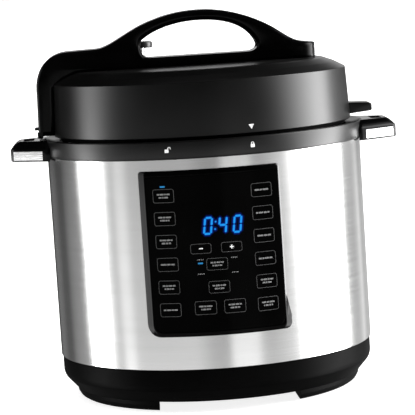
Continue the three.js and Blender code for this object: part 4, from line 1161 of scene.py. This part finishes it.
def studio():
    """A world of light that depends on direction; the camera itself sees plain white."""
    world = bpy.data.worlds.new("studio")
    bpy.context.scene.world = world
    world.use_nodes = True
    world.node_tree.nodes.clear()
    sky = Nodes(world.node_tree)

    def between(value, low, high):
        return sky.node("ShaderNodeMapRange", {"Value": value, "From Min": low, "From Max": high},
                        interpolation_type="SMOOTHSTEP").outputs[0]

    def outside(value, low, high):
        return sky.math("SUBTRACT", 1.0, between(value, low, high))

    def mixed(a, b, share):
        return sky.math("ADD", a, sky.math("MULTIPLY", share, sky.math("SUBTRACT", b, a)))

    def round_table(azimuths, table):
        made = sky.node("ShaderNodeFloatCurve", {"Value": azimuths})
        curve = made.mapping.curves[0]
        while len(curve.points) < len(table):
            curve.points.new(0.5, 0.5)
        for point, (azimuth, value) in zip(curve.points, table):
            point.location = ((azimuth + 180) / 360, value / BRIGHTEST)
            point.handle_type = "VECTOR"
        made.mapping.update()
        return made.outputs[0]

    direction = sky.node("ShaderNodeTexCoord").outputs["Generated"]
    right, back, height = sky.node("ShaderNodeSeparateXYZ", {0: direction}).outputs
    angle = sky.math("ARCTAN2", right, sky.math("MULTIPLY", back, -1))
    share = sky.math("ADD", sky.math("DIVIDE", angle, 2 * math.pi), 0.5)
    lit = mixed(round_table(share, SWEEP), round_table(share, ROOM), between(height, -0.09, -0.05))
    lit = mixed(lit, FLOOR_GLOW / BRIGHTEST, outside(height, -0.75, -0.35))
    right_lift = sky.math("MULTIPLY", sky.math("MAXIMUM", right, 0.0), 0.4)
    lit = sky.math("MULTIPLY", lit, outside(sky.math("SUBTRACT", height, right_lift), 0.3, 0.6))
    backdrop = sky.math("MULTIPLY", between(back, 0.8, 0.92), between(height, 0.03, 0.08))
    backdrop = sky.math("MULTIPLY", backdrop, outside(height, 0.22, 0.36))
    lit = sky.math("ADD", lit, sky.math("MULTIPLY", backdrop, BACKDROP / BRIGHTEST))
    lit = sky.math("ADD", lit, sky.math("MULTIPLY", between(height, 0.82, 0.96), CEILING / BRIGHTEST))
    bands = sky.node("ShaderNodeBackground", {"Strength": sky.math("MULTIPLY", lit, BRIGHTEST)})
    plain = sky.node("ShaderNodeBackground", {"Color": (1, 1, 1, 1)})
    camera_ray = sky.node("ShaderNodeLightPath").outputs["Is Camera Ray"]
    seen = sky.node("ShaderNodeMixShader", {0: camera_ray, 1: bands.outputs[0], 2: plain.outputs[0]})
    sky.node("ShaderNodeOutputWorld", {0: seen.outputs[0]})


def overhead_light():
    """A softbox over the floor, out of every reflection."""
    light = bpy.data.lights.new("overhead", "AREA")
    light.shape = "RECTANGLE"
    light.size, light.size_y = 3.2, 3.2
    light.energy = 60
    lamp = bpy.data.objects.new("overhead", light)
    lamp.location = (0, -0.2, 2.4)
    lamp.visible_glossy = False
    bpy.context.scene.collection.objects.link(lamp)


def camera():
    """The photograph's view: 2 m off, slightly above, and rolled so that the cooker leans left."""
    turn, distance, height, pitch, roll = math.radians(-2), 2.0, 0.3822, 0.1073, -0.0648
    forward = Vector((0, math.cos(pitch), -math.sin(pitch)))
    level = Vector((1, 0, 0))
    above = level.cross(forward)
    right = level * math.cos(roll) + above * math.sin(roll)
    up = above * math.cos(roll) - level * math.sin(roll)
    pose = Matrix((right, up, -forward)).transposed().to_4x4()
    pose.translation = Vector((0, -distance, height))
    view = bpy.data.cameras.new("camera")
    view.sensor_width = 36
    view.lens = 186.94
    eye = bpy.data.objects.new("camera", view)
    eye.matrix_world = Matrix.Translation((0, AXIS_Y * MM, 0)) @ Matrix.Rotation(turn, 4, "Z") @ pose
    bpy.context.scene.collection.objects.link(eye)
    bpy.context.scene.camera = eye
    bpy.context.scene.view_settings.view_transform = "Standard"


for build in (
        floor, studio, overhead_light, camera, base_shell, feet, base_bottom, steel_wrap, rim_band,
        side_handles, marks, bezel, overlay, keys, display, lid_shell, lid_handle, steam_valve, float_valve,
        inner_lid, underside, gasket_and_rack, valve_shield, cooking_pot, liner, hot_plate,
        temperature_sensor, power_inlet, cup_rails, condensation_cup, paint_frame):
    build()
